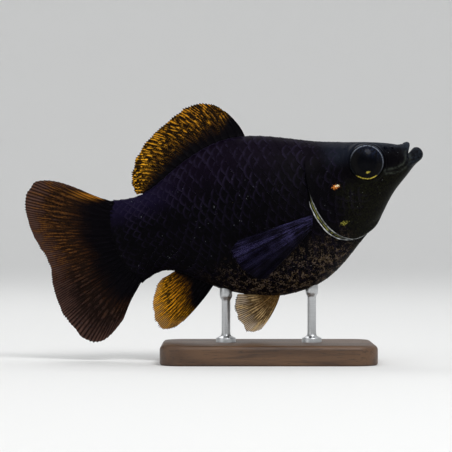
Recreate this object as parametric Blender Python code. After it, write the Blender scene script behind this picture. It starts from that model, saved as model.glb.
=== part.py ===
"""A life-size still model of a black sailfin molly, a deep-bodied live-bearing fish, on a display stand.

Blender 4.5 script in metres, +Z up, head towards +X. The floor is z = 0 under the stand.
The fish is drawn in its own side view, where a point is (back, left, up): "back" runs from the snout to
the tail, "left" to the fish's left and "up" from the body's axis to its back. They are counted in
eightieths of the body's length, about a millimetre each.
"""

import math

import bmesh
import bpy
import numpy as np

# driving dimensions
BODY_LENGTH = 0.080
UNIT = BODY_LENGTH / 80
HEAD_UP = math.radians(17)
SNOUT_X = 0.05025
SNOUT_Z = 0.0529
GAP = 0.0003
CLEAR = GAP / UNIT
TAIL_SWING = 3.2 * UNIT
SWING_START = 34 * UNIT
LEFT, RIGHT = 1, -1

# The body is a loft of rings, from inside the mouth to the root of the tail fin. Each ring passes
# through a point on the back (or roof), one on the flank and one on the belly (or floor), each as
# (back, up). Then come its half width, how much wider it is above the flank than below, and how
# square its roof is.
RINGS = [
    ((6.2, 1.35), (6.2, 1.2), (6.2, 1.05), 0.7, 0.0, 0.0),
    ((4.4, 1.6), (4.8, 1.0), (4.2, 0.9), 1.8, 0.0, 0.0),
    ((3.1, 1.75), (3.8, 0.8), (2.6, 1.05), 2.5, 0.0, 0.0),
    ((2.4, 2.3), (3.5, 0.4), (1.6, 1.75), 2.9, 0.0, 0.0),
    ((2.1, 3.2), (3.7, -0.3), (0.2, 1.5), 3.3, 0.0, 0.1),
    ((2.9, 3.8), (4.2, -0.9), (-0.45, -0.1), 3.6, 0.0, 0.2),
    ((4.6, 3.68), (5.0, -1.2), (0.4, -1.5), 3.9, 0.0, 0.3),
    ((6.2, 4.3), (6.3, -1.1), (2.3, -2.4), 4.4, 0.03, 0.4),
    ((8.8, 5.4), (8.7, -1.0), (5.3, -4.5), 5.4, 0.06, 0.5),
    ((11.6, 6.4), (11.5, -0.9), (8.9, -7.0), 6.4, 0.08, 0.6),
    ((14.8, 7.4), (14.8, -1.2), (12.2, -10.1), 7.2, 0.08, 0.6),
    ((18.8, 8.6), (18.8, -2.2), (15.6, -13.4), 7.9, 0.05, 0.5),
    ((23.4, 10.1), (23.4, -3.6), (20.4, -16.4), 8.6, 0.0, 0.35),
    ((28.4, 12.1), (28.4, -4.8), (26.4, -20.5), 9.3, -0.06, 0.2),
    ((34.4, 14.7), (34.0, -5.4), (33.2, -23.7), 10.0, -0.12, 0.1),
    ((41.2, 17.0), (40.8, -5.2), (40.6, -24.4), 10.2, -0.14, 0.0),
    ((48.2, 17.7), (48.0, -4.0), (48.0, -23.2), 9.3, -0.14, 0.0),
    ((55.2, 16.4), (55.0, -2.0), (55.0, -20.0), 7.7, -0.10, 0.0),
    ((61.2, 14.2), (61.0, -0.6), (60.6, -16.3), 6.0, -0.06, 0.0),
    ((66.6, 11.8), (66.6, 0.2), (66.2, -11.6), 4.7, -0.02, 0.0),
    ((71.6, 10.5), (72.2, 0.5), (71.2, -9.4), 3.6, 0.0, 0.0),
    ((76.2, 10.9), (77.6, 0.5), (75.6, -10.2), 2.4, 0.0, 0.0),
    ((78.6, 11.5), (81.0, 0.5), (77.8, -11.0), 1.0, 0.0, 0.0),
]
LAST_RING = len(RINGS) - 1
ROUND_STEPS = 52
SMOOTH_ANGLE = math.radians(40)


def spline(knots, values, level=False):
    """A cubic through the values, as a function of the knot variable: natural, or level at both ends."""
    knots = np.asarray(knots, float)
    values = np.asarray(values, float)
    gaps = np.diff(knots)
    rates = np.diff(values, axis=0) / gaps[:, None]
    count = len(knots)
    system = np.eye(count)
    right = np.zeros_like(values)
    for i in range(1, count - 1):
        system[i, i - 1:i + 2] = gaps[i - 1], 2 * (gaps[i - 1] + gaps[i]), gaps[i]
        right[i] = 6 * (rates[i] - rates[i - 1])
    if level:
        system[0, 0:2] = 2 * gaps[0], gaps[0]
        system[-1, -2:] = gaps[-1], 2 * gaps[-1]
        right[0], right[-1] = 6 * rates[0], -6 * rates[-1]
    bends = np.linalg.solve(system, right)

    def at(t):
        t = np.asarray(t, float)
        i = np.clip(np.searchsorted(knots, t, side="right") - 1, 0, count - 2)
        wide = gaps[i][..., None]
        near = (t - knots[i])[..., None]
        far = wide - near
        low, high = bends[i], bends[i + 1]
        return (
            (low * far**3 + high * near**3) / (6 * wide)
            + (values[i] / wide - low * wide / 6) * far
            + (values[i + 1] / wide - high * wide / 6) * near
        )

    return at


ring_at = spline(range(len(RINGS)), [[*top, *side, *low, *shape] for top, side, low, *shape in RINGS])


def body_surface(ring, turn):
    """Points of the body. turn is 0 on the back, 90 degrees on the left flank and 180 on the belly."""
    row = ring_at(ring)
    top, side, low = row[..., 0:2], row[..., 2:4], row[..., 4:6]
    across, over = np.sin(turn), np.cos(turn)
    middle = (top + low) / 2
    outline = middle + (top - low) / 2 * over[..., None] + (side - middle) * across[..., None] ** 2
    swell = 1 + row[..., 7] * over + row[..., 8] * np.maximum(over, 0) ** 2
    left = row[..., 6] * across * swell
    return np.stack([outline[..., 0], left, outline[..., 1]], -1)


def normals_of(ring, turn):
    """Outward unit normals of the body."""
    step = 1e-3
    along = body_surface(ring + step, turn) - body_surface(ring - step, turn)
    round_it = body_surface(ring, turn + step) - body_surface(ring, turn - step)
    out = np.cross(along, round_it)
    return out / np.maximum(np.linalg.norm(out, axis=-1, keepdims=True), 1e-12)


def placed(points):
    """Points of the fish taken to the world: the tail swings to the fish's left, then the head lifts."""
    points = np.asarray(points, float) * UNIT
    back, left, up = points[..., 0], points[..., 1], points[..., 2]
    reach = np.clip(back - SWING_START, 0, None) / (BODY_LENGTH - SWING_START)
    left = left + TAIL_SWING * reach**2
    x = SNOUT_X - back * math.cos(HEAD_UP) - up * math.sin(HEAD_UP)
    z = SNOUT_Z - back * math.sin(HEAD_UP) + up * math.cos(HEAD_UP)
    return np.stack([x, left, z], -1)


def smooth(x):
    x = np.clip(x, 0, 1)
    return x * x * (3 - 2 * x)


def meet(view, target, guess):
    """The ring and turn whose surface point is seen at target in a view of two coordinates."""
    spot = np.array(guess, float)
    step = 1e-4
    for _ in range(25):
        here = view(body_surface(*spot))
        slopes = [(view(body_surface(*(spot + step * way))) - here) / step for way in np.eye(2)]
        spot -= np.linalg.solve(np.stack(slopes, -1), here - np.asarray(target, float))
    return spot


def seen_from_side(point):
    return point[[0, 2]]


def seen_from_below(point):
    return point[[0, 1]]


def plan_place(point):
    return placed(point)[:2]


def outward(points, faces):
    """Turns every triangle round if the closed mesh is inside out."""
    triangles = np.asarray(points)[np.asarray(faces)]
    return faces if np.linalg.det(triangles).sum() > 0 else [face[::-1] for face in faces]


def triangles_of(faces):
    return [(face[0], face[i], face[i + 1]) for face in faces for i in range(1, len(face) - 1)]


def without_repeats(face):
    return tuple(i for m, i in enumerate(face) if i not in face[:m])


def new_object(name, points, faces, finish):
    mesh = bpy.data.meshes.new(name)
    mesh.from_pydata([tuple(p) for p in points], [], [tuple(int(i) for i in f) for f in faces])
    mesh.materials.append(finish)
    mesh.shade_smooth()
    mesh.set_sharp_from_angle(angle=SMOOTH_ANGLE)
    obj = bpy.data.objects.new(name, mesh)
    bpy.context.scene.collection.objects.link(obj)
    return obj


def material(name, colour, roughness, metallic=0.0):
    made = bpy.data.materials.new(name)
    made.use_nodes = True
    shader = made.node_tree.nodes["Principled BSDF"]
    shader.inputs["Base Color"].default_value = (*colour, 1)
    shader.inputs["Roughness"].default_value = roughness
    shader.inputs["Metallic"].default_value = metallic
    return made


def largest_island(work):
    """Deletes all but the island with the most vertices from an edit mesh."""
    waiting = set(work.verts)
    islands = []
    while waiting:
        island = set()
        border = [waiting.pop()]
        while border:
            vert = border.pop()
            island.add(vert)
            near = [link.other_vert(vert) for link in vert.link_edges]
            near = [v for v in near if v in waiting]
            waiting.difference_update(near)
            border += near
        islands.append(island)
    islands.sort(key=len)
    for island in islands[:-1]:
        bmesh.ops.delete(work, geom=list(island), context="VERTS")


def joined(target, tools, operation):
    """Adds or cuts the tools with one exact solid operation and keeps the largest closed surface."""
    kit = bpy.data.collections.new("tools")
    for tool in tools:
        kit.objects.link(tool)
    step = target.modifiers.new("step", "BOOLEAN")
    step.operand_type = "COLLECTION"
    step.collection = kit
    step.operation = operation
    step.solver = "EXACT"
    shape = bpy.data.meshes.new_from_object(target.evaluated_get(bpy.context.evaluated_depsgraph_get()))
    target.modifiers.clear()
    target.data = shape
    for tool in tools:
        bpy.data.objects.remove(tool)
    bpy.data.collections.remove(kit)
    work = bmesh.new()
    work.from_mesh(shape)
    bmesh.ops.remove_doubles(work, verts=work.verts, dist=1e-6)
    bmesh.ops.triangulate(work, faces=work.faces)
    largest_island(work)
    work.to_mesh(shape)
    work.free()
    shape.shade_smooth()
    shape.set_sharp_from_angle(angle=SMOOTH_ANGLE)


def turned(points, axis, centre):
    """Stands points drawn round the third axis on another axis of the fish."""
    first = np.cross(axis, (0.0, 0.0, 1.0))
    first /= np.linalg.norm(first)
    second = np.cross(axis, first)
    return centre + points @ np.stack([first, second, axis])


def lathe(profile, steps):
    """Points and faces of a turned solid from (radius, height) pairs; a pair of no radius makes a pole."""
    points, rows = [], []
    for radius, height in profile:
        if radius == 0:
            rows.append([len(points)] * steps)
            points.append((0.0, 0.0, height))
            continue
        rows.append(list(range(len(points), len(points) + steps)))
        for k in range(steps):
            angle = 2 * math.pi * k / steps
            points.append((radius * math.cos(angle), radius * math.sin(angle), height))
    faces = []
    for low, high in zip(rows, rows[1:]):
        for k in range(steps):
            n = (k + 1) % steps
            faces.append(without_repeats([low[k], low[n], high[n], high[k]]))
    return np.array(points), faces


# The gill opening runs down from the nape behind the gill cover and forward under the throat. The
# cover's free edge stands proud of the shoulder, which dips under it.
GILL_LINE = spline(
    [0, 40, 80, 110, 135, 155, 170, 180],
    [[12.55], [12.95], [13.34], [13.12], [12.62], [12.10], [11.45], [11.15]],
    level=True,
)
COVER_RISE = 0.45
SHOULDER_DIP = 0.40
FLAP_REACH = 0.75
STALK_TOP, STALK_LOW = 20.25, 20.15


def folded(turn):
    """Degrees from the back, 0 to 180, alike on both flanks."""
    degrees = np.degrees(turn) % 360
    return np.where(degrees > 180, 360 - degrees, degrees)


def mouth_ring(turn):
    return 0 * turn


def gill_ring(turn):
    return GILL_LINE(folded(turn))[..., 0]


def stalk_ring(turn):
    return STALK_LOW + (STALK_TOP - STALK_LOW) * (1 + np.cos(turn)) / 2


def last_ring(turn):
    return LAST_RING + 0 * turn


def gill_cover(turn):
    """1 where the free edge of the gill cover runs, 0 on the nape and under the throat."""
    degrees = folded(turn)
    return smooth((degrees - 38) / 22) * smooth((184 - degrees) / 12)


def cover_edge(turn, before):
    return COVER_RISE * gill_cover(turn) * smooth(1 - before / FLAP_REACH)


def shoulder_edge(turn, behind):
    return -SHOULDER_DIP * gill_cover(turn) * smooth(1 - behind / FLAP_REACH)


def cut_normal(ring, turn):
    """Unit normals of a cut's edge in the side view, pointing rearwards."""
    edge = body_surface(ring, turn)[..., [0, 2]]
    half = len(turn) // 2
    run = np.gradient(edge[: half + 1], axis=0)
    normal = np.stack([-run[:, 1], 0 * run[:, 0], run[:, 0]], -1)
    normal /= np.linalg.norm(normal, axis=1, keepdims=True)
    return np.concatenate([normal, normal[1:half][::-1]])


def lifted(points, out, amount, cut):
    """Moves points by an amount along their normals, but never across the cut."""
    move = out * amount[:, None]
    return points + move - cut * (move * cut).sum(1, keepdims=True)


def tube_faces(rows):
    """Quads of a tube of rows of ROUND_STEPS points, facing outwards for rows that run rearwards."""
    faces = []
    for i in range(rows - 1):
        for j in range(ROUND_STEPS):
            k = (j + 1) % ROUND_STEPS
            here, behind = i * ROUND_STEPS, (i + 1) * ROUND_STEPS
            faces.append((here + j, here + k, behind + k, behind + j))
    return faces


def ladder(row, rear):
    """Closes an end row by rungs from each left point to its mirror on the right."""
    first = row * ROUND_STEPS
    faces = []
    for j in range(ROUND_STEPS // 2):
        right, before = (ROUND_STEPS - j - 1) % ROUND_STEPS, (ROUND_STEPS - j) % ROUND_STEPS
        face = without_repeats([first + j, first + j + 1, first + right, first + before])
        faces.append(face if rear else face[::-1])
    return faces


def body_piece(name, start, end, shares, front_cut=False, rear_cut=False, front_edge=None, rear_edge=None):
    """One length of the body between two functions of the turn, with rows at shares of the way."""
    turn = np.linspace(0, 2 * math.pi, ROUND_STEPS, endpoint=False)
    first, last = start(turn), end(turn)
    rows = []
    for share in shares:
        ring = first + (last - first) * share
        points = body_surface(ring, turn)
        if rear_edge is not None:
            amount = rear_edge(turn, last - ring)
            points = lifted(points, normals_of(ring, turn), amount, cut_normal(last, turn))
        if front_edge is not None:
            amount = front_edge(turn, ring - first)
            points = lifted(points, normals_of(ring, turn), amount, cut_normal(first, turn))
        rows.append(points)
    if front_cut:
        rows[0] += cut_normal(first, turn) * CLEAR / 2
    if rear_cut:
        rows[-1] -= cut_normal(last, turn) * CLEAR / 2
    rows = np.array(rows)
    rows[:, [0, ROUND_STEPS // 2], 1] = 0
    faces = tube_faces(len(rows)) + ladder(0, rear=False) + ladder(len(rows) - 1, rear=True)
    return new_object(name, placed(rows.reshape(-1, 3)), faces, SKIN)


# The eye is a flattened ball that leans a little less than the cheek does. Its socket is the same
# ball grown by the gap, inside a low round rim, the orbit.
EYE_BACK, EYE_UP = 14.3, 1.7
EYE_RADIUS, EYE_DEPTH = 4.7, 2.6
EYE_SUNK = 1.35
EYE_GUESS = (9.8, math.radians(60))
EYE_STEPS = 22
EYE_ROWS = 13
RIM_RADIUS, RIM_TUBE = 4.95, 0.42
RIM_STEPS, RIM_SIDES = 26, 6


def eye_frame():
    """The middle of the eye on the head's surface and its axis, on the left side."""
    spot = meet(seen_from_side, (EYE_BACK, EYE_UP), EYE_GUESS)
    axis = normals_of(*spot) + (0, 1, 0)
    return body_surface(*spot), axis / np.linalg.norm(axis)


def eyeball(name, side, grown, finish):
    middle, axis = eye_frame()
    profile = []
    for lean in np.linspace(-math.pi / 2, math.pi / 2, EYE_ROWS):
        radius = (EYE_RADIUS + grown) * math.cos(lean)
        profile.append((radius if radius > grown / 10 + 1e-6 else 0, (EYE_DEPTH + grown) * math.sin(lean)))
    points, faces = lathe(profile, EYE_STEPS)
    points = placed(turned(points, axis, middle - axis * EYE_SUNK) * (1, side, 1))
    return new_object(name, points, outward(points, triangles_of(faces)), finish)


def orbit_rim(side):
    """A round rim that follows the head's surface about the eye's axis."""
    middle, axis = eye_frame()
    across = np.cross(axis, (0.0, 0.0, 1.0))
    across /= np.linalg.norm(across)
    upright = np.cross(axis, across)
    points, faces = [], []
    for k in range(RIM_STEPS):
        angle = 2 * math.pi * k / RIM_STEPS
        target = RIM_RADIUS * np.array([math.cos(angle), math.sin(angle)])
        spot = meet(lambda p: np.array([(p - middle) @ across, (p - middle) @ upright]), target, EYE_GUESS)
        centre, out = body_surface(*spot), normals_of(*spot)
        outer = target[0] * across + target[1] * upright
        outer -= out * (outer @ out)
        outer /= np.linalg.norm(outer)
        for m in range(RIM_SIDES):
            round_tube = 2 * math.pi * m / RIM_SIDES
            points.append(centre + RIM_TUBE * (math.cos(round_tube) * outer + math.sin(round_tube) * out))
            here, on = k * RIM_SIDES + m, k * RIM_SIDES + (m + 1) % RIM_SIDES
            ahead, whole = RIM_SIDES, RIM_SIDES * RIM_STEPS
            faces.append((here, (here + ahead) % whole, (on + ahead) % whole, on))
    points = placed(np.array(points) * (1, side, 1))
    return new_object("rim", points, outward(points, triangles_of(faces)), SKIN)


# two nostrils on each side of the snout, as (back, up) in the side view and a radius
NOSTRILS = (((8.6, 3.7), 0.50), ((6.9, 3.2), 0.34))
NOSTRIL_SHAPE = ((0, -0.8), (0.7, -0.7), (1.0, 0.0), (1.3, 0.6), (0, 0.7))
NOSTRIL_SIDES = 8


def nostril(place, radius, side):
    spot = meet(seen_from_side, place, (7.5, math.radians(40)))
    points, faces = lathe([(radius * wide, height) for wide, height in NOSTRIL_SHAPE], NOSTRIL_SIDES)
    points = placed(turned(points, normals_of(*spot), body_surface(*spot)) * (1, side, 1))
    return new_object("nostril", points, outward(points, triangles_of(faces)), SKIN)


def fin_columns(ray_count):
    """Places across a fin, 0 to 1: a ray, the membrane between, a ray and so on."""
    return np.linspace(0, 1, 2 * ray_count - 1)


def ray_tips(roots, places, outline, left, proud):
    """The fin's edge read from its outline in the side view; rays end a little past the membrane."""
    drawn = outline(places)
    tips = np.stack([drawn[:, 0], left + 0 * places, drawn[:, 1]], -1)
    run = tips - roots
    run /= np.linalg.norm(run, axis=1, keepdims=True)
    is_ray = np.arange(len(tips)) % 2 == 0
    return tips + run * np.where(is_ray, proud, 0)[:, None]


def ray_bends(roots, tips, bow):
    """The middle control points of the rays, bowed in the side view by a share of their length."""
    run = tips - roots
    sideways = np.stack([-run[:, 2], 0 * run[:, 1], run[:, 0]], -1)
    return (roots + tips) / 2 + bow * sideways


def fin_solid(name, roots, bends, tips, thickness, rows=8, wave=0.0, waves=1.5, phase=0.0):
    """A closed fin whose columns bend from the roots to the tips. Every other column is a ray, proud of
    the membrane on both faces. thickness is the ray's at its root and tip, then the membrane's."""
    ray_root, ray_tip, web_root, web_tip = thickness
    columns = len(roots)
    share = np.linspace(0, 1, rows + 1)[:, None, None] ** 1.25
    sheet = roots * (1 - share) ** 2 + bends * 2 * share * (1 - share) + tips * share**2
    share = share[..., 0]
    across = np.linspace(0, 1, columns)[None, :]
    sheet[..., 1] += wave * share**1.5 * np.sin(2 * math.pi * (waves * across + phase))
    out = np.cross(np.gradient(sheet, axis=0), np.gradient(sheet, axis=1))
    out /= np.linalg.norm(out, axis=-1, keepdims=True)
    is_ray = (np.arange(columns) % 2 == 0)[None, :]
    ray = ray_root + (ray_tip - ray_root) * share
    web = web_root + (web_tip - web_root) * share
    half = np.where(is_ray, ray, web) / 2
    near = sheet + out * half[..., None]
    far = sheet - out * half[..., None]
    points = placed(np.concatenate([near.reshape(-1, 3), far.reshape(-1, 3)]))
    behind = (rows + 1) * columns
    faces = []
    for i in range(rows):
        for j in range(columns - 1):
            a, b = i * columns + j, i * columns + j + 1
            c, d = b + columns, a + columns
            faces += [(a, b, c), (a, c, d)]
            faces += [(behind + a, behind + c, behind + b), (behind + a, behind + d, behind + c)]
    rim = [i * columns for i in range(rows + 1)]
    rim += [rows * columns + j for j in range(1, columns)]
    rim += [i * columns + columns - 1 for i in range(rows - 1, -1, -1)]
    rim += list(range(columns - 2, 0, -1))
    for a, b in zip(rim, rim[1:] + rim[:1]):
        faces += [(a, b, behind + b), (a, behind + b, behind + a)]
    return new_object(name, points, outward(points, faces), FIN)


def median_roots(turn, front, rear, places):
    """Points along the back or the belly, a gap off the body, at places from the front to the rear."""
    rings = np.linspace(8, LAST_RING, 400)
    line = body_surface(rings, np.full_like(rings, turn))
    ring = np.interp(front + (rear - front) * places, line[:, 0], rings)
    turns = np.full_like(ring, turn)
    return (body_surface(ring, turns) + CLEAR * normals_of(ring, turns)) * (1, 0, 1)


# the dorsal fin: rooted along the ridge of the back, its rays fanned and lying flatter toward the rear
DORSAL_FRONT, DORSAL_REAR = 41.3, 69.8
DORSAL_RAYS = 15
DORSAL_EDGE = spline(
    [0, 0.10, 0.21, 0.33, 0.47, 0.585, 0.70, 0.82, 0.92, 1],
    [(44.2, 24.0), (46.8, 27.0), (51.4, 28.4), (56.4, 27.3), (61.8, 24.9), (65.8, 22.8), (69.4, 19.6),
     (71.5, 15.8), (72.2, 13.2), (71.8, 11.0)],
)
MEDIAN_THICKNESS = (1.1, 0.45, 0.6, 0.3)


def dorsal_fin():
    places = fin_columns(DORSAL_RAYS)
    roots = median_roots(0, DORSAL_FRONT, DORSAL_REAR, places)
    tips = ray_tips(roots, places, DORSAL_EDGE, left=0.8, proud=0.35)
    fin_solid("dorsal_fin", roots, ray_bends(roots, tips, 0.17), tips, MEDIAN_THICKNESS, wave=0.5, waves=2.0)


# the anal fin: a short fan swept back under the tail stalk, as in a female
ANAL_FRONT, ANAL_REAR = 60.0, 67.9
ANAL_RAYS = 10
ANAL_EDGE = spline(
    [0, 0.15, 0.30, 0.45, 0.60, 0.75, 0.88, 1],
    [(69.5, -22.9), (73.2, -24.0), (75.8, -23.3), (76.5, -20.8), (76.2, -17.8), (75.0, -14.8), (73.5, -12.6),
     (71.8, -11.2)],
)


def anal_fin():
    places = fin_columns(ANAL_RAYS)
    roots = median_roots(math.pi, ANAL_FRONT, ANAL_REAR, places)
    tips = ray_tips(roots, places, ANAL_EDGE, left=0.4, proud=0.35)
    fin_solid("anal_fin", roots, ray_bends(roots, tips, -0.06), tips, MEDIAN_THICKNESS, wave=0.35, waves=1.2)


# the tail fin: a broad fan on the rounded end of the tail stalk
CAUDAL_RAYS = 22
CAUDAL_EDGE = spline(
    [0, 0.05, 0.11, 0.18, 0.28, 0.38, 0.50, 0.62, 0.72, 0.82, 0.89, 0.95, 1],
    [(84.8, 15.9), (90.0, 19.8), (95.8, 21.7), (99.6, 18.2), (100.7, 12.6), (100.0, 7.5), (98.7, 1.4),
     (99.2, -4.6), (99.5, -10.0), (98.0, -15.6), (94.6, -21.2), (89.4, -21.4), (84.4, -18.2)],
)
CAUDAL_THICKNESS = (1.3, 0.45, 0.8, 0.3)


def caudal_fin():
    places = fin_columns(CAUDAL_RAYS)
    roots = body_surface(np.full_like(places, LAST_RING), places * math.pi) * (1, 0, 1)
    run = np.gradient(roots, axis=0)
    run /= np.linalg.norm(run, axis=1, keepdims=True)
    roots += CLEAR * np.stack([-run[:, 2], 0 * places, run[:, 0]], -1)
    tips = ray_tips(roots, places, CAUDAL_EDGE, left=1.2, proud=0.3)
    bends = (roots + tips) / 2 - np.stack([0 * places, 0 * places, np.cos(places * math.pi)], -1)
    fin_solid("caudal_fin", roots, bends, tips, CAUDAL_THICKNESS, rows=10, wave=0.8, waves=1.5, phase=0.1)


# the pectoral fins: they leave the flank square to its surface, just behind the gill cover, and sweep back
PECTORAL_RAYS = 12
PECTORAL_ROOT = spline([0, 0.5, 1], [(31.7, -6.9), (32.2, -8.7), (32.8, -10.4)])
PECTORAL_EDGE = spline(
    [0, 0.14, 0.30, 0.50, 0.70, 0.86, 1],
    [(50.2, -7.5), (52.3, -8.9), (52.6, -11.2), (52.0, -13.7), (50.6, -15.9), (48.9, -17.8), (46.6, -18.4)],
)
PECTORAL_THICKNESS = (0.8, 0.4, 0.55, 0.28)
PECTORAL_OUT = 13.4
PECTORAL_LIFT = 2.2


def pectoral_fin(name, side):
    places = fin_columns(PECTORAL_RAYS)
    spots = np.array([meet(seen_from_side, PECTORAL_ROOT(t), (14.0, math.radians(100))) for t in places])
    out = normals_of(spots[:, 0], spots[:, 1])
    roots = body_surface(spots[:, 0], spots[:, 1]) + CLEAR * out
    tips = ray_tips(roots, places, PECTORAL_EDGE, left=PECTORAL_OUT, proud=0.3)
    bends = roots + out * PECTORAL_LIFT
    flip = (1, side, 1)
    fin_solid(name, roots * flip, bends * flip, tips * flip, PECTORAL_THICKNESS, wave=0.35 * side)


# the pelvic fins: a small pair beside the belly's midline
PELVIC_RAYS = 7
PELVIC_FRONT, PELVIC_REAR = 44.4, 47.2
PELVIC_APART, PELVIC_OUT = 1.8, 3.3
PELVIC_EDGE = spline(
    [0, 0.2, 0.4, 0.6, 0.8, 1],
    [(51.4, -30.5), (54.2, -30.6), (55.5, -29.0), (56.1, -26.6), (56.0, -23.9), (54.9, -21.6)],
)
PELVIC_THICKNESS = (0.9, 0.45, 0.6, 0.3)
PELVIC_LIFT = 1.7


def pelvic_fin(name, side):
    places = fin_columns(PELVIC_RAYS)
    backs = PELVIC_FRONT + (PELVIC_REAR - PELVIC_FRONT) * places
    guess = (15.5, math.radians(170))
    spots = np.array([meet(seen_from_below, (back, PELVIC_APART), guess) for back in backs])
    out = normals_of(spots[:, 0], spots[:, 1])
    roots = body_surface(spots[:, 0], spots[:, 1]) + CLEAR * out
    tips = ray_tips(roots, places, PELVIC_EDGE, left=PELVIC_OUT, proud=0.3)
    bends = roots + out * PELVIC_LIFT + (tips - roots) * (0.3, 0, 0.3)
    flip = (1, side, 1)
    fin_solid(name, roots * flip, bends * flip, tips * flip, PELVIC_THICKNESS, wave=0.25 * side)


# the stand: a flat base with rounded corners and two turned rods, each with a saddle that fits the belly
BASE_CENTRE_X = 0.0115
BASE_LONG, BASE_WIDE, BASE_HIGH = 0.054, 0.038, 0.005
BASE_CORNER, CORNER_STEPS = 0.006, 6
BASE_EDGE = 0.0009
ROD_PLACES = (("stand_rod_front", 0.0226), ("stand_rod_rear", 0.0009))
ROD_RADIUS, SADDLE_RADIUS, FOOT_RADIUS = 0.0011, 0.0016, 0.0025
SADDLE_HIGH = 0.0018
FOOT_HIGH = 0.0014
ROD_STEPS = 16


def rounded_plan(inset):
    """The base's outline, counter-clockwise, moved in by an inset."""
    radius = BASE_CORNER - inset
    reach_x, reach_y = BASE_LONG / 2 - BASE_CORNER, BASE_WIDE / 2 - BASE_CORNER
    points = []
    for quarter, (way_x, way_y) in enumerate(((1, 1), (-1, 1), (-1, -1), (1, -1))):
        for m in range(CORNER_STEPS + 1):
            angle = math.pi / 2 * (quarter + m / CORNER_STEPS)
            x = BASE_CENTRE_X + way_x * reach_x + radius * math.cos(angle)
            points.append((x, way_y * reach_y + radius * math.sin(angle)))
    return points


def stand_base():
    layers = [(BASE_EDGE / 3, 0), (0, BASE_EDGE / 3), (0, BASE_HIGH - BASE_EDGE)]
    layers += [(BASE_EDGE * 0.3, BASE_HIGH - BASE_EDGE * 0.3), (BASE_EDGE, BASE_HIGH)]
    points = [(x, y, height) for inset, height in layers for x, y in rounded_plan(inset)]
    steps = len(points) // len(layers)
    faces = [tuple(range(steps))[::-1]]
    for i in range(len(layers) - 1):
        for k in range(steps):
            n = (k + 1) % steps
            faces.append((i * steps + k, i * steps + n, (i + 1) * steps + n, (i + 1) * steps + k))
    faces.append(tuple(range((len(layers) - 1) * steps, len(layers) * steps)))
    new_object("stand_base", points, faces, WOOD)


def stand_rod(name, x):
    """A rod with a foot ring, under the belly's midline at x. Its saddle stops a gap below the belly."""
    middle = min(np.linspace(11, 20, 500), key=lambda ring: abs(placed(body_surface(ring, math.pi))[0] - x))
    centre = placed(body_surface(middle, math.pi))
    foot, top = BASE_HIGH + GAP, centre[2] - GAP
    profile = [(0, foot), (FOOT_RADIUS, foot), (FOOT_RADIUS, foot + FOOT_HIGH / 2)]
    profile += [(FOOT_RADIUS * 0.85, foot + FOOT_HIGH * 0.8), (ROD_RADIUS, foot + FOOT_HIGH)]
    profile += [(ROD_RADIUS, top - SADDLE_HIGH * 1.6), (SADDLE_RADIUS, top - SADDLE_HIGH)]
    profile += [(SADDLE_RADIUS, top), (0, top)]
    points, faces = lathe(profile, ROD_STEPS)
    points[:, :2] += x, centre[1]
    for point in points[-ROD_STEPS - 1:]:
        spot = meet(plan_place, point[:2], (middle, math.pi))
        point[2] = placed(body_surface(*spot))[2] - GAP
    new_object(name, points, faces, STEEL)


for old in list(bpy.data.objects):
    bpy.data.objects.remove(old)

SKIN = material("black skin", (0.012, 0.011, 0.015), 0.45)
FIN = material("smoky fin", (0.10, 0.055, 0.025), 0.5)
EYE = material("black eye", (0.004, 0.004, 0.006), 0.08)
WOOD = material("walnut", (0.13, 0.065, 0.03), 0.5)
STEEL = material("brushed steel", (0.6, 0.6, 0.6), 0.3, 1.0)

# the head's rows stand closer together round the mouth
HEAD_SHARES = np.concatenate([np.linspace(0, 0.5, 11), np.linspace(0.54, 1, 13)])
TORSO_SHARES = np.linspace(0, 1, 22)
STALK_SHARES = np.linspace(0, 1, 7)
head = body_piece("head", mouth_ring, gill_ring, HEAD_SHARES, rear_cut=True, rear_edge=cover_edge)
body_piece(
    "torso", gill_ring, stalk_ring, TORSO_SHARES, front_cut=True, rear_cut=True, front_edge=shoulder_edge
)
body_piece("tail_stalk", stalk_ring, last_ring, STALK_SHARES, front_cut=True)
joined(head, [orbit_rim(LEFT), orbit_rim(RIGHT)], "UNION")
holes = [eyeball("socket", side, CLEAR, SKIN) for side in (LEFT, RIGHT)]
holes += [nostril(place, radius, side) for side in (LEFT, RIGHT) for place, radius in NOSTRILS]
joined(head, holes, "DIFFERENCE")
dorsal_fin()
anal_fin()
caudal_fin()
for label, side in (("left", LEFT), ("right", RIGHT)):
    eyeball(f"eye_{label}", side, 0, EYE)
    pectoral_fin(f"pectoral_fin_{label}", side)
    pelvic_fin(f"pelvic_fin_{label}", side)
stand_base()
for label, x in ROD_PLACES:
    stand_rod(label, x)
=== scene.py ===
import math

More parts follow.
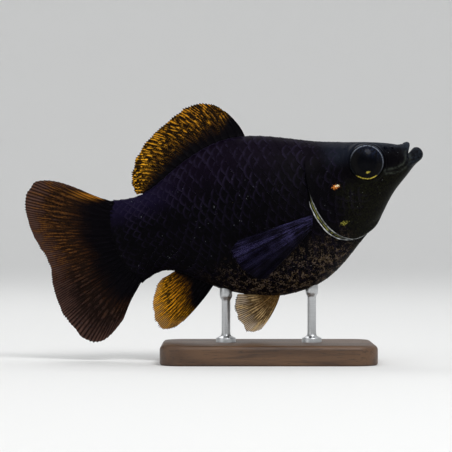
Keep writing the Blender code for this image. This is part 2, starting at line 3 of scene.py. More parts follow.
import bmesh
import bpy
import numpy as np
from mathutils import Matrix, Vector


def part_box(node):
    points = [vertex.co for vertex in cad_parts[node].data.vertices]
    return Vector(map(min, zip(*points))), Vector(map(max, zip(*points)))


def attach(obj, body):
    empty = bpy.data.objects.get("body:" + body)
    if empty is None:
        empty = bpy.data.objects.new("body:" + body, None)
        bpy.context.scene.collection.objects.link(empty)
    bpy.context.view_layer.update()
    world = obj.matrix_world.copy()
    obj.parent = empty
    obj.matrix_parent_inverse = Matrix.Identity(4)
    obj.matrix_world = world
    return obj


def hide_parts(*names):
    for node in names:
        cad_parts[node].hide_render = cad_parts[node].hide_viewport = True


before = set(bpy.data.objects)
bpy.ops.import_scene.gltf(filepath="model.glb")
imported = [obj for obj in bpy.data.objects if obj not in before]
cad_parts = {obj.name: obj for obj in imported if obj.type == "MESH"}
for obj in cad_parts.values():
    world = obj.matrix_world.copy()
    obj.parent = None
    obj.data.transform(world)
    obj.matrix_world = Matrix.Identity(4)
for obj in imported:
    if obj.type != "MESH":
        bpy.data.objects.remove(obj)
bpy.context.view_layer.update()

# Skin: the moist black hide of the whole fish, one piece from the mouth to the root of the tail. It is
# a loft of rings along the body, with the gill covers, lips, nostrils and orbits pressed into it, and
# lies under the scales.
UNIT = 0.001
HEAD_UP = math.radians(17)
SNOUT_X, SNOUT_Z = 0.05025, 0.0529
BODY_LONG = 80
SWING_START, TAIL_SWING = 34, 3.2
RINGS = [
    ((6.2, 1.35), (6.2, 1.2), (6.2, 1.05), 0.7, 0.0, 0.0),
    ((4.4, 1.6), (4.8, 1.0), (4.2, 0.9), 1.8, 0.0, 0.0),
    ((3.1, 1.75), (3.8, 0.8), (2.6, 1.05), 2.5, 0.0, 0.0),
    ((2.4, 2.3), (3.5, 0.4), (1.6, 1.75), 2.9, 0.0, 0.0),
    ((2.1, 3.2), (3.7, -0.3), (0.2, 1.5), 3.3, 0.0, 0.1),
    ((2.9, 3.8), (4.2, -0.9), (-0.45, -0.1), 3.6, 0.0, 0.2),
    ((4.6, 3.68), (5.0, -1.2), (0.4, -1.5), 3.9, 0.0, 0.3),
    ((6.2, 4.3), (6.3, -1.1), (2.3, -2.4), 4.4, 0.03, 0.4),
    ((8.8, 5.4), (8.7, -1.0), (5.3, -4.5), 5.4, 0.06, 0.5),
    ((11.6, 6.4), (11.5, -0.9), (8.9, -7.0), 6.4, 0.08, 0.6),
    ((14.8, 7.4), (14.8, -1.2), (12.2, -10.1), 7.2, 0.08, 0.6),
    ((18.8, 8.6), (18.8, -2.2), (15.6, -13.4), 7.9, 0.05, 0.5),
    ((23.4, 10.1), (23.4, -3.6), (20.4, -16.4), 8.6, 0.0, 0.35),
    ((28.4, 12.1), (28.4, -4.8), (26.4, -20.5), 9.3, -0.06, 0.2),
    ((34.4, 14.7), (34.0, -5.4), (33.2, -23.7), 10.0, -0.12, 0.1),
    ((41.2, 17.0), (40.8, -5.2), (40.6, -24.4), 10.2, -0.14, 0.0),
    ((48.2, 17.7), (48.0, -4.0), (48.0, -23.2), 9.3, -0.14, 0.0),
    ((55.2, 16.4), (55.0, -2.0), (55.0, -20.0), 7.7, -0.10, 0.0),
    ((61.2, 14.2), (61.0, -0.6), (60.6, -16.3), 6.0, -0.06, 0.0),
    ((66.6, 11.8), (66.6, 0.2), (66.2, -11.6), 4.7, -0.02, 0.0),
    ((71.6, 10.5), (72.2, 0.5), (71.2, -9.4), 3.6, 0.0, 0.0),
    ((76.2, 10.9), (77.6, 0.5), (75.6, -10.2), 2.4, 0.0, 0.0),
    ((78.6, 11.5), (81.0, 0.5), (77.8, -11.0), 1.0, 0.0, 0.0),
]
LAST_RING = len(RINGS) - 1


def spline(knots, values, level=False):
    """A cubic through the values, as a function of the knot variable: natural, or level at both ends."""
    knots = np.asarray(knots, float)
    values = np.asarray(values, float)
    gaps = np.diff(knots)
    rates = np.diff(values, axis=0) / gaps[:, None]
    count = len(knots)
    system = np.eye(count)
    right = np.zeros_like(values)
    for i in range(1, count - 1):
        system[i, i - 1:i + 2] = gaps[i - 1], 2 * (gaps[i - 1] + gaps[i]), gaps[i]
        right[i] = 6 * (rates[i] - rates[i - 1])
    if level:
        system[0, 0:2] = 2 * gaps[0], gaps[0]
        system[-1, -2:] = gaps[-1], 2 * gaps[-1]
        right[0], right[-1] = 6 * rates[0], -6 * rates[-1]
    bends = np.linalg.solve(system, right)

    def at(t):
        t = np.asarray(t, float)
        i = np.clip(np.searchsorted(knots, t, side="right") - 1, 0, count - 2)
        wide = gaps[i][..., None]
        near = (t - knots[i])[..., None]
        far = wide - near
        low, high = bends[i], bends[i + 1]
        return (
            (low * far**3 + high * near**3) / (6 * wide)
            + (values[i] / wide - low * wide / 6) * far
            + (values[i + 1] / wide - high * wide / 6) * near
        )

    return at


ring_at = spline(range(len(RINGS)), [[*top, *side, *low, *shape] for top, side, low, *shape in RINGS])
GILL_LINE = spline(
    [0, 40, 80, 110, 135, 155, 170, 180],
    [[12.55], [12.95], [13.34], [13.12], [12.62], [12.10], [11.45], [11.15]],
    level=True,
)


def smooth(x):
    x = np.clip(x, 0, 1)
    return x * x * (3 - 2 * x)


def bell(x, wide):
    return np.exp(-(x / wide) ** 2)


def body_surface(ring, turn):
    """Points (back, left, up) of the body, in millimetres. turn is 0 on the back and pi on the belly."""
    row = ring_at(ring)
    top, side, low = row[..., 0:2], row[..., 2:4], row[..., 4:6]
    across, over = np.sin(turn), np.cos(turn)
    middle = (top + low) / 2
    outline = middle + (top - low) / 2 * over[..., None] + (side - middle) * across[..., None] ** 2
    swell = 1 + row[..., 7] * over + row[..., 8] * np.maximum(over, 0) ** 2
    left = row[..., 6] * across * swell
    return np.stack([outline[..., 0], left, outline[..., 1]], -1)


def normals_of(ring, turn):
    step = 1e-3
    along = body_surface(ring + step, turn) - body_surface(ring - step, turn)
    round_it = body_surface(ring, turn + step) - body_surface(ring, turn - step)
    out = np.cross(along, round_it)
    return out / np.maximum(np.linalg.norm(out, axis=-1, keepdims=True), 1e-12)


def placed(points):
    """The fish's points in the world: the tail swings to its left, then the head lifts."""
    points = np.asarray(points, float)
    back, left, up = points[..., 0], points[..., 1], points[..., 2]
    reach = np.clip(back - SWING_START, 0, None) / (BODY_LONG - SWING_START)
    left = left + TAIL_SWING * reach**2
    x = SNOUT_X - UNIT * (back * math.cos(HEAD_UP) + up * math.sin(HEAD_UP))
    z = SNOUT_Z - UNIT * (back * math.sin(HEAD_UP) - up * math.cos(HEAD_UP))
    return np.stack([x, UNIT * left, z], -1)


def folded(turn):
    degrees = np.degrees(turn) % 360
    return np.where(degrees > 180, 360 - degrees, degrees)


def gill_ring(turn):
    return GILL_LINE(folded(turn))[..., 0]


# in degrees from the back: where the gill cover's edge starts to stand free, and over how many
COVER_TOP, TOP_FADE, COVER_FOOT, FOOT_FADE = 38, 22, 184, 12


def gill_cover(turn):
    """1 where the gill cover's edge stands free, 0 where it is grown to the body."""
    degrees = folded(turn)
    return smooth((degrees - COVER_TOP) / TOP_FADE) * smooth((COVER_FOOT - degrees) / FOOT_FADE)


def side_signs(turn):
    """Folds points at these turns to the left side of the fish, or back again."""
    return np.where(np.mod(turn, 2 * math.pi) > math.pi, -1.0, 1.0)[:, None] * (0, 1, 0) + (1, 0, 1)


def meet(view, target, guess):
    """The ring and turn whose surface point is seen at target in a view of two coordinates."""
    spot = np.array(guess, float)
    step = 1e-4
    for _ in range(25):
        here = view(body_surface(*spot))
        slopes = [(view(body_surface(*(spot + step * way))) - here) / step for way in np.eye(2)]
        spot -= np.linalg.solve(np.stack(slopes, -1), here - np.asarray(target, float))
    return spot


def seen_from_side(point):
    return point[[0, 2]]


def new_mesh(name, points, faces, attributes=None, smooth_angle=60):
    """An object with smooth faces from world points; attributes are vectors stored on its points."""
    mesh = bpy.data.meshes.new(name)
    mesh.from_pydata(np.asarray(points).tolist(), [], [tuple(int(i) for i in f) for f in faces])
    for label, values in (attributes or {}).items():
        layer = mesh.attributes.new(label, "FLOAT_VECTOR", "POINT")
        layer.data.foreach_set("vector", np.asarray(values, np.float32).ravel())
    mesh.shade_smooth()
    mesh.set_sharp_from_angle(angle=math.radians(smooth_angle))
    obj = bpy.data.objects.new(name, mesh)
    bpy.context.scene.collection.objects.link(obj)
    return obj


def grid_faces(rows, columns, closed, first=0):
    """Quads of a grid of points; closed joins the last column to the first."""
    i = np.arange(rows - 1)[:, None]
    j = np.arange(columns if closed else columns - 1)[None, :]
    k = (j + 1) % columns
    quads = np.stack([i * columns + j, i * columns + k, (i + 1) * columns + k, (i + 1) * columns + j], -1)
    return (quads.reshape(-1, 4) + first).tolist()


def tube_faces(rows, columns):
    """Quads of a tube of rings, with one face across each end."""
    faces = grid_faces(rows, columns, closed=True)
    faces.append(list(range(columns))[::-1])
    faces.append(list(range((rows - 1) * columns, rows * columns)))
    return faces


def finished(piece, sheet, slot, *nodes):
    piece.data.materials.clear()
    piece.data.materials.append(sheet.material)
    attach(piece, "root")
    if nodes:
        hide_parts(*nodes)


class Value:
    """A shader or geometry socket that takes part in arithmetic."""

    def __init__(self, sheet, socket):
        self.sheet = sheet
        self.socket = socket

    def __add__(self, other):
        return self.sheet.math("ADD", self, other)

    def __sub__(self, other):
        return self.sheet.math("SUBTRACT", self, other)

    def __rsub__(self, other):
        return self.sheet.math("SUBTRACT", other, self)

    def __mul__(self, other):
        return self.sheet.math("MULTIPLY", self, other)

    def __truediv__(self, other):
        return self.sheet.math("DIVIDE", self, other)

    def __pow__(self, other):
        return self.sheet.math("POWER", self, other)

    __radd__ = __add__
    __rmul__ = __mul__

    def parts(self):
        """The three parts of a vector."""
        split = self.sheet.node("ShaderNodeSeparateXYZ", {}, {0: self})
        return [Value(self.sheet, socket) for socket in split.outputs]


class Sheet:
    """The nodes of one material, or of one geometry tree where a tree is given."""

    def __init__(self, name, tree=None):
        if tree is None:
            self.material = bpy.data.materials.new(name)
            self.material.use_nodes = True
            tree = self.material.node_tree
            self.shader = tree.nodes["Principled BSDF"]
        self.tree = tree

    def feed(self, socket, value):
        if isinstance(value, Value):
            self.tree.links.new(value.socket, socket)
        elif isinstance(value, tuple) and len(value) == 3 and socket.type == "RGBA":
            socket.default_value = (*value, 1)
        else:
            socket.default_value = value

    def node(self, kind, settings, sockets):
        made = self.tree.nodes.new(kind)
        for key, value in settings.items():
            setattr(made, key, value)
        for key, value in sockets.items():
            self.feed(made.inputs[key], value)
        return made

    def value(self, kind, settings, sockets, output=0):
        """Adds a node and gives one of its outputs."""
        return Value(self, self.node(kind, settings, sockets).outputs[output])

    def math(self, operation, *values):
        return self.value("ShaderNodeMath", {"operation": operation}, dict(enumerate(values)))

    def stretch(self, place, factors):
        return self.value("ShaderNodeVectorMath", {"operation": "MULTIPLY"}, {0: place, 1: factors})

    def attribute(self, name):
        return self.value("ShaderNodeAttribute", {"attribute_name": name}, {}, "Vector")

    def noise(self, place, scale, detail=2.0):
        return self.value("ShaderNodeTexNoise", {}, {"Vector": place, "Scale": scale, "Detail": detail})

    def cells(self, place, scale):
        return self.value("ShaderNodeTexVoronoi", {}, {"Vector": place, "Scale": scale}, "Distance")

    def rise(self, value, low, high):
        """0 below low, 1 above high, with a smooth step between; high may be the lower one."""
        return self.value("ShaderNodeMapRange", {"interpolation_type": "SMOOTHSTEP"},
                          {"Value": value, "From Min": low, "From Max": high})

    def between(self, value, low, full, still_full, high):
        """1 from full to still_full, fading to 0 at low and at high."""
        return self.rise(value, low, full) * self.rise(value, high, still_full)

    def mix(self, factor, first, second):
        """The first colour where factor is 0, the second where it is 1."""
        return self.value("ShaderNodeMix", {"data_type": "RGBA"}, {0: factor, 6: first, 7: second}, 2)

    def bump(self, height, depth, strength):
        return self.value("ShaderNodeBump", {}, {"Height": height, "Distance": depth, "Strength": strength})

    def surface(self, **sockets):
        """Feeds the shader's sockets, named in small letters with underscores."""
        for name, value in sockets.items():
            self.feed(self.shader.inputs[name.replace("_", " ").title().replace("Ior", "IOR")], value)


BACK_BLACK = (0.0032, 0.0014, 0.0054)
FLANK_BLACK = (0.0009, 0.0006, 0.0014)
HEAD_BLUE = (0.0065, 0.0085, 0.0150)
BROW_GLARE = (0.020, 0.025, 0.034)
JAW_HIGHLIGHT = (0.030, 0.034, 0.028)
CHEEK_OLIVE = (0.0085, 0.0090, 0.0030)
BELLY_GOLD, BELLY_CREAM = (0.105, 0.070, 0.032), (0.145, 0.105, 0.080)
TAIL_TOP_HIGHLIGHT = (0.0060, 0.0040, 0.0170)
GLINT_OLIVE = (0.30, 0.28, 0.045)
GLINT_AMBER = (0.62, 0.20, 0.03)
GLINT_PALE = (0.85, 0.72, 0.45)
GLINT = (0.35, 0.37, 0.42)
# where the markings and the painted highlight on the tail root fade in, in millimetres back from the snout or
# up from the body's axis
RIDGE_FADE, TAIL_TOP_FADE, HEAD_FADE = (5, 16), (58, 72), (26, 21)
BELLY_FADE, BELLY_FRONT, BELLY_REAR = (-6, -17), (20, 27), (68, 52)
# each painted glint near the gill cover: its place back and up, its reach, how solid it is, and its colour
GILL_COVER_GLINTS = (
    (24.2, -11.2, 1.8, 0.36, GLINT_OLIVE),
    (23.6, -1.9, 1.5, 0.50, GLINT_AMBER),
    (23.1, -1.8, 0.7, 0.50, GLINT_PALE),
)


def hide_colour(sheet):
    """The markings, painted highlights and painted glints that skin and scales share, from a point's place on
    the fish in millimetres.
    """
    fish = sheet.attribute("fish")
    back, _, up = fish.parts()
    ridge = sheet.rise(up + sheet.noise(fish, 0.16) * 5, *RIDGE_FADE)
    colour = sheet.mix(ridge, FLANK_BLACK, BACK_BLACK)
    # painted highlight: violet along the top of the tail root
    tail_top_highlight = sheet.rise(back, *TAIL_TOP_FADE) * sheet.rise(up + sheet.noise(fish, 0.5, 3.0) * 4, 5, 12)
    colour = sheet.mix(tail_top_highlight, colour, TAIL_TOP_HIGHLIGHT)
    on_head = sheet.rise(back, *HEAD_FADE)
    colour = sheet.mix(on_head * sheet.rise(up, 1.5, 6), colour, HEAD_BLUE)
    # painted highlight: blue-grey glare along the top line of the head
    brow_glare = sheet.rise(back, 30, 17) * sheet.rise(up - back * 0.42 + sheet.noise(fish, 0.6, 3.0) * 3, 1.8, 3.6)
    colour = sheet.mix(brow_glare, colour, BROW_GLARE)
    cheek = on_head * sheet.rise(up, 0, -4) * sheet.rise(sheet.noise(fish, 2.6, 4.0), 0.36, 0.72)
    colour = sheet.mix(cheek, colour, CHEEK_OLIVE)
    speckle = sheet.noise(fish, 3.0, 3.0)
    low_belly = sheet.rise(up + sheet.noise(fish, 0.3) * 8, *BELLY_FADE)
    low_belly = low_belly * sheet.rise(back, *BELLY_FRONT) * sheet.rise(back, *BELLY_REAR)
    patches = sheet.noise(fish, 0.8, 4.0)
    flecks = sheet.rise(speckle * 0.55 + patches * 0.45, 0.49, 0.61)
    fleck_colour = sheet.mix(sheet.rise(sheet.noise(fish, 1.7), 0.4, 0.6), BELLY_GOLD, BELLY_CREAM)
    colour = sheet.mix(low_belly * flecks * 0.8, colour, fleck_colour)
    glitter = sheet.noise(sheet.stretch(fish, (1.0, 1.0, 1.7)), 3.6, 4.0)
    # painted glints near the gill cover, each broken up by fine noise
    for at_back, at_up, reach, solid, tint in GILL_COVER_GLINTS:
        away = (((back - at_back) * 0.75) ** 2 + ((up - at_up) * 1.5) ** 2) ** 0.5
        near = sheet.rise(away + speckle * 2, reach + 1, 1.0)
        colour = sheet.mix(sheet.rise(near * solid + glitter, 0.78, 0.88), colour, tint)
    # painted glints: tiny pale specks scattered over the hide, none high on the back
    glint_specks = sheet.rise(sheet.noise(fish, 2.6, 3.0), 0.70, 0.76)
    glint_specks = glint_specks * sheet.rise(sheet.noise(fish, 0.22), 0.50, 0.60)
    colour = sheet.mix(glint_specks * sheet.rise(up, 16, 8) * 0.5, colour, GLINT)
    return colour, fish


EYE_BACK, EYE_UP = 14.3, 1.7
EYE_RADIUS, EYE_DEPTH, EYE_SUNK = 4.7, 2.6, 1.35
eye_spot = meet(seen_from_side, (EYE_BACK, EYE_UP), (9.8, math.radians(60)))
EYE_MIDDLE = body_surface(*eye_spot)
EYE_AXIS = normals_of(*eye_spot) + (0, 1, 0)
EYE_AXIS /= np.linalg.norm(EYE_AXIS)
EYE_ACROSS = np.cross(EYE_AXIS, (0.0, 0.0, 1.0))
EYE_ACROSS /= np.linalg.norm(EYE_ACROSS)
EYE_UPRIGHT = np.cross(EYE_ACROSS, EYE_AXIS)
SOCKET_EDGE, SOCKET_SLOPE, SOCKET_DEEP = 4.15, 0.5, 0.35
RIM_RADIUS, MOAT_RADIUS = 4.85, 5.75
NOSTRILS = (((8.6, 3.7), 0.46), ((6.9, 3.2), 0.32))
LIP_CREASE = [(3.94, 3.9), (3.75, 2.8), (3.6, 1.6), (3.5, 0.8)]
JAW_FOLD = [(3.6, 0.9), (3.9, -0.5), (5.2, -1.8), (7.6, -2.3), (10.1, -2.0)]
CHEEK_EDGE = [(18.6, 6.2), (20.4, 3.0), (20.8, -1.0), (19.6, -5.2), (17.0, -8.6), (13.6, -10.4),
              (10.0, -10.5)]
SNOUT_FOLD = [(7.6, 3.2), (6.4, 1.6), (6.0, 0.0), (6.6, -1.4)]
FOLD_DEEP, CREASE_DEEP, SNOUT_DEEP = 0.20, 0.16, 0.14
COVER_RISE, SHOULDER_DIP, FLAP_REACH = 0.45, 0.40, 0.75
# the groove behind the gill cover: each row's ring from the cover's edge, and its share of the dip
GROOVE = ((-0.02, 0.1), (-0.06, -0.9), (-0.01, -1.0))
HIDE_BUMP, HIDE_SHINE = 0.00006, 0.028
SKIN_COLUMNS = 256
MOUTH_ROWS, HEAD_ROWS, TRUNK_ROWS = 70, 120, 165


def distance_to(points, knots):
    """How far points lie from a curve drawn in the side view."""
    curve = spline(np.linspace(0, 1, len(knots)), knots)(np.linspace(0, 1, 60))
    seen = points[..., [0, 2]]
    return np.sqrt(((seen[..., None, :] - curve) ** 2).sum(-1)).min(-1)


def face_relief(points, out):
    """Moves head points, folded to the left side, for the orbit, nostrils, folds and cheek."""
    cheek = distance_to(points, CHEEK_EDGE)
    lift = (0.10 * bell(cheek - 0.3, 0.4) - 0.14 * bell(cheek, 0.3)) * smooth((points[..., 0] - 12) / 5)
    lift -= FOLD_DEEP * bell(distance_to(points, JAW_FOLD), 0.26)
    lift -= CREASE_DEEP * bell(distance_to(points, LIP_CREASE), 0.24)
    lift -= SNOUT_DEEP * bell(distance_to(points, SNOUT_FOLD), 0.3)
    for place, radius in NOSTRILS:
        centre = body_surface(*meet(seen_from_side, place, (7.5, math.radians(40))))
        away = np.linalg.norm(points - centre, axis=-1)
        lift += 0.20 * bell(away - radius * 1.35, 0.22) - 0.75 * bell(away, radius * 0.75)
    points = points + out * lift[..., None]
    aside = points - EYE_MIDDLE
    height = aside @ EYE_AXIS
    radius = np.linalg.norm(aside - height[..., None] * EYE_AXIS, axis=-1)
    ball = -EYE_SUNK + EYE_DEPTH * np.sqrt(np.clip(1 - (radius / EYE_RADIUS) ** 2, 0, 1))
    inside = (1 - smooth((radius - SOCKET_EDGE) / SOCKET_SLOPE)) * (height > -4)
    points = points + EYE_AXIS * (inside * (ball - SOCKET_DEEP - height))[..., None]
    rim = 0.30 * bell(radius - RIM_RADIUS, 0.34) - 0.16 * bell(radius - MOAT_RADIUS, 0.45)
    return points + out * (rim * (height > -4))[..., None]


def skin_grid():
    """Rows of skin points: the head up to the gill cover's edge, the groove behind it, the trunk."""
    turn = np.linspace(0, 2 * math.pi, SKIN_COLUMNS, endpoint=False)
    gill = gill_ring(turn)
    cover = gill_cover(turn)
    shares = [*np.linspace(0, 0.5, MOUTH_ROWS, endpoint=False), *np.linspace(0.5, 1, HEAD_ROWS)]
    rows = []
    for share in shares:
        ring = gill * share
        out = normals_of(ring, turn)
        rise = COVER_RISE * cover * smooth(1 - (gill - ring) / FLAP_REACH)
        points = body_surface(ring, turn) + out * rise[:, None]
        if share > 0.3:
            side = side_signs(turn)
            points = face_relief(points * side, out * side) * side
        rows.append(points)
    for ahead, dip in GROOVE:
        ring = gill + ahead
        rows.append(body_surface(ring, turn) + normals_of(ring, turn) * (SHOULDER_DIP * dip * cover)[:, None])
    for share in np.linspace(0.006, 1, TRUNK_ROWS):
        ring = gill + (LAST_RING - gill) * share
        dip = SHOULDER_DIP * cover * smooth(1 - (ring - gill) / FLAP_REACH) + 0.10 * smooth(share * 20)
        rows.append(body_surface(ring, turn) - normals_of(ring, turn) * dip[:, None])
    return np.array(rows)


grid = skin_grid()
rows, columns = grid.shape[:2]
flat = grid.reshape(-1, 3)
# where the painted highlights go: a band on the ridge above the jaw fold, and the lips
jaw = bell(distance_to(flat, JAW_FOLD) - 0.55, 0.32) * (flat[:, 0] < 11)
lips = smooth((5.2 - flat[:, 0]) / 1.6)
shown = np.stack([jaw, lips, 0 * jaw], -1)
skin = new_mesh("skin", placed(flat), tube_faces(rows, columns), {"fish": flat, "face": shown},
                smooth_angle=80)
sheet = Sheet("wet black skin")
colour, fish = hide_colour(sheet)
jaw, lips, _ = sheet.attribute("face").parts()
# painted highlights: grey along the ridge above the jaw fold and blue-grey on the lips
jaw_highlight = jaw * sheet.rise(sheet.noise(fish, 1.2, 3.0), 0.3, 0.65) * 0.8
lip_glare = lips * sheet.rise(sheet.noise(fish, 1.6, 3.0), 0.3, 0.7) * 0.6
colour = sheet.mix(jaw_highlight, colour, JAW_HIGHLIGHT)
colour = sheet.mix(lip_glare, colour, BROW_GLARE)
grain = sheet.noise(fish, 3.2, 5.0)
pores = sheet.rise(sheet.cells(fish, 1.5), 0.0, 0.30)
sheet.surface(
    base_color=colour,
    roughness=0.36 + 0.22 * grain,
    normal=sheet.bump(grain * 0.7 + pores * 0.3, HIDE_BUMP, 0.6),
    specular_ior_level=HIDE_SHINE,
)
finished(skin, sheet, "skin", "head", "torso", "tail_stalk")

# Scales: thin round-edged plates in staggered columns from the gill openings to the tail fin, and a
# smaller patch over the nape, each lapping the one behind it, like tiles.
SCALE_PITCH = 1.18
ROWS_ROUND = 22
SCALE_ACROSS, SCALE_ALONG = 8, 3
SCALE_FRONT = -3.3
SCALE_WIDE = 1.16
HEAD_RELIEF = 0.6
REAR_LIFT, FRONT_SINK, PLATE_THICK = 0.17, 0.16, 0.07
REAR_CURVE, FRONT_CURVE, PLATE_CURL = 1.0, 0.9, 0.03
HEAD_COLUMNS = 14
SHARE_FROM = -0.42
TURN_AT_RANDOM, SIZE_AT_RANDOM = 0.05, 0.03
TURN_SEED, SIZE_SEED = 7, 11
SCALE_SHEEN, SCALE_BUMP = (0.020, 0.015, 0.036), 0.00003
# a scale's root lies this many columns ahead of its tip
ROOT_AHEAD = 1.2
# the head is bare near the eye, on the snout, under the throat and on the gill cover's low front
BARE_ROUND_EYE, BARE_SNOUT, BARE_BELOW = 6.9, 12.5, 128
LOW_FRONT_UP, LOW_FRONT_BACK = -2, 15.5
# the bare edge round the map, and how large a scale's patch is for each column and half row
MAP_EDGE, PATCH_LONG, PATCH_WIDE = 0.03, 0.0009, 0.0013


def scale_plate():
    """One scale, flat: x in columns with its rear tip at 0, y in half rows, z in millimetres."""
    lines = []
    for along in np.linspace(0, 1, SCALE_ALONG + 1):
        for across in np.linspace(-1, 1, SCALE_ACROSS + 1):
            y = SCALE_WIDE * math.sin(across * math.pi / 2)
            rear = -REAR_CURVE * abs(y) ** 2.2
            front = SCALE_FRONT + FRONT_CURVE * (y / SCALE_WIDE) ** 2
            x = front + (rear - front) * along ** 0.8
            z = REAR_LIFT + (REAR_LIFT + FRONT_SINK) * x / -SCALE_FRONT
            z -= PLATE_CURL * (y / SCALE_WIDE) ** 4
            lines.append((x, y, z))
    wide = SCALE_ACROSS + 1
    faces = grid_faces(SCALE_ALONG + 1, wide, closed=False)
    border = list(range(wide)) + [wide * i + wide - 1 for i in range(1, SCALE_ALONG + 1)]
    border += [wide * SCALE_ALONG + j for j in range(wide - 2, -1, -1)]
    border += [wide * i for i in range(SCALE_ALONG - 1, 0, -1)]
    under = len(lines)
    lines += [(lines[k][0], lines[k][1], lines[k][2] - PLATE_THICK) for k in border]
    count = len(border)
    for k in range(count):
        n = (k + 1) % count
        faces.append((border[n], border[k], under + k, under + n))
    faces.append(list(range(under + count - 1, under - 1, -1)))
    return lines, faces


def scale_lattice(name, columns, first_column, half_rows, finish):
    """Scales laid flat in staggered columns by geometry nodes, as plain points, faces and roots."""
    points, faces = scale_plate()
    bed = new_mesh(name, points, faces, smooth_angle=50)
    tree = bpy.data.node_groups.new(name, "GeometryNodeTree")
    ports = {}
    for label, kind in (("Scale", "NodeSocketGeometry"), ("Columns", "NodeSocketInt"),
                        ("Rows", "NodeSocketInt"), ("First column", "NodeSocketInt"),
                        ("Turn", "NodeSocketFloat"), ("Size", "NodeSocketFloat")):
        ports[label] = tree.interface.new_socket(label, in_out="INPUT", socket_type=kind).identifier
    tree.interface.new_socket("Scales", in_out="OUTPUT", socket_type="NodeSocketGeometry")
    work = Sheet(name, tree)
    given = work.node("NodeGroupInput", {}, {})
    inputs = {label: Value(work, given.outputs[label]) for label in ports}
    places = work.value("GeometryNodeMeshGrid", {}, {
        "Size X": inputs["Columns"] - 1, "Size Y": 2 * (inputs["Rows"] - 1),
        "Vertices X": inputs["Columns"], "Vertices Y": inputs["Rows"]}, "Mesh")
    x, y, _ = work.value("GeometryNodeInputPosition", {}, {}).parts()
    column = work.math("ROUND", x + (inputs["Columns"] - 1) / 2)
    row = y + (inputs["Rows"] - 1)
    stagger = work.math("FLOORED_MODULO", column + inputs["First column"] + 64, 2)
    root = work.value("ShaderNodeCombineXYZ", {},
                      {0: column + inputs["First column"], 1: row + stagger, 2: 0.0})
    laid = work.value("GeometryNodeSetPosition", {}, {"Geometry": places, "Position": root})
    spot = work.value("GeometryNodeInputPosition", {}, {})
    kept = work.value("GeometryNodeStoreNamedAttribute", {"data_type": "FLOAT_VECTOR", "domain": "POINT"},
                      {"Geometry": laid, "Name": "root", "Value": spot})
    yaw = work.value("FunctionNodeRandomValue", {"data_type": "FLOAT"},
                     {2: inputs["Turn"] * -1, 3: inputs["Turn"], "Seed": TURN_SEED}, 1)
    size = work.value("FunctionNodeRandomValue", {"data_type": "FLOAT"},
                      {2: 1 - inputs["Size"], 3: 1 + inputs["Size"], "Seed": SIZE_SEED}, 1)
    spin = work.value("ShaderNodeCombineXYZ", {}, {2: yaw})
    set_out = work.value("GeometryNodeInstanceOnPoints", {},
                         {"Points": kept, "Instance": inputs["Scale"], "Rotation": spin, "Scale": size})
    real = work.value("GeometryNodeRealizeInstances", {}, {0: set_out})
    painted = work.value("GeometryNodeSetMaterial", {}, {"Geometry": real, "Material": finish})
    work.node("NodeGroupOutput", {}, {0: painted})
    modifier = bed.modifiers.new(name, "NODES")
    modifier.node_group = tree
    for label, value in (("Columns", columns), ("Rows", half_rows), ("First column", first_column),
                         ("Turn", TURN_AT_RANDOM), ("Size", SIZE_AT_RANDOM)):
        modifier[ports[label]] = value
    laid_out = bpy.data.meshes.new_from_object(bed.evaluated_get(bpy.context.evaluated_depsgraph_get()))
    bed.modifiers.clear()
    count = len(laid_out.vertices)
    flat, roots = np.empty(count * 3), np.empty(count * 3)
    laid_out.vertices.foreach_get("co", flat)
    laid_out.attributes["root"].data.foreach_get("vector", roots)
    bed.data = laid_out
    return bed, flat.reshape(-1, 3), roots.reshape(-1, 3)


def arc_along(line):
    """How far along a line of points each one is."""
    return np.concatenate([[0], np.cumsum(np.linalg.norm(np.diff(line, axis=0), axis=1))])


def table_of_turns(samples=140, steps=240):
    """Turns at even steps of arc round the left flank, for even shares of the trunk's length."""
    turns = np.linspace(0, math.pi, steps)
    table = []
    for share in np.linspace(SHARE_FROM, 1, samples):
        ring = ring_of(share, turns)
        arc = arc_along(body_surface(ring, turns))
        table.append(np.interp(np.linspace(0, arc[-1], steps), arc, turns))
    return np.array(table)


def ring_of(share, turn):
    """The ring at a share of the way from the gill opening to the tail; below 0 it runs up the nape."""
    gill = gill_ring(turn)
    behind = gill + (LAST_RING - gill) * share
    ahead = gill + (LAST_RING - gill_ring(0.0)) * share
    return np.where(share < 0, ahead, behind)


shares = np.linspace(SHARE_FROM, 1, 400)
side_turns = np.full_like(shares, math.pi / 2)
flank_arc = arc_along(body_surface(ring_of(shares, side_turns), side_turns))
flank_arc -= np.interp(0, shares, flank_arc)
TURNS = table_of_turns()
LAST_COLUMN = int(flank_arc[-1] / SCALE_PITCH - 0.5)


def turn_of(share, half_row):
    """The turn at a place counted in half rows from the ridge of the back, right round the body."""
    whole = 2 * ROWS_ROUND
    place = np.mod(half_row, whole)
    left = place <= ROWS_ROUND
    place = np.where(left, place, whole - place) / ROWS_ROUND
    i = np.clip((share - SHARE_FROM) / (1 - SHARE_FROM), 0, 1) * (TURNS.shape[0] - 1)
    j = place * (TURNS.shape[1] - 1)
    low_i = np.minimum(i.astype(int), TURNS.shape[0] - 2)
    low_j = np.minimum(j.astype(int), TURNS.shape[1] - 2)
    di, dj = i - low_i, j - low_j
    near = TURNS[low_i, low_j] * (1 - dj) + TURNS[low_i, low_j + 1] * dj
    far = TURNS[low_i + 1, low_j] * (1 - dj) + TURNS[low_i + 1, low_j + 1] * dj
    turn = near * (1 - di) + far * di
    return np.where(left, turn, 2 * math.pi - turn)


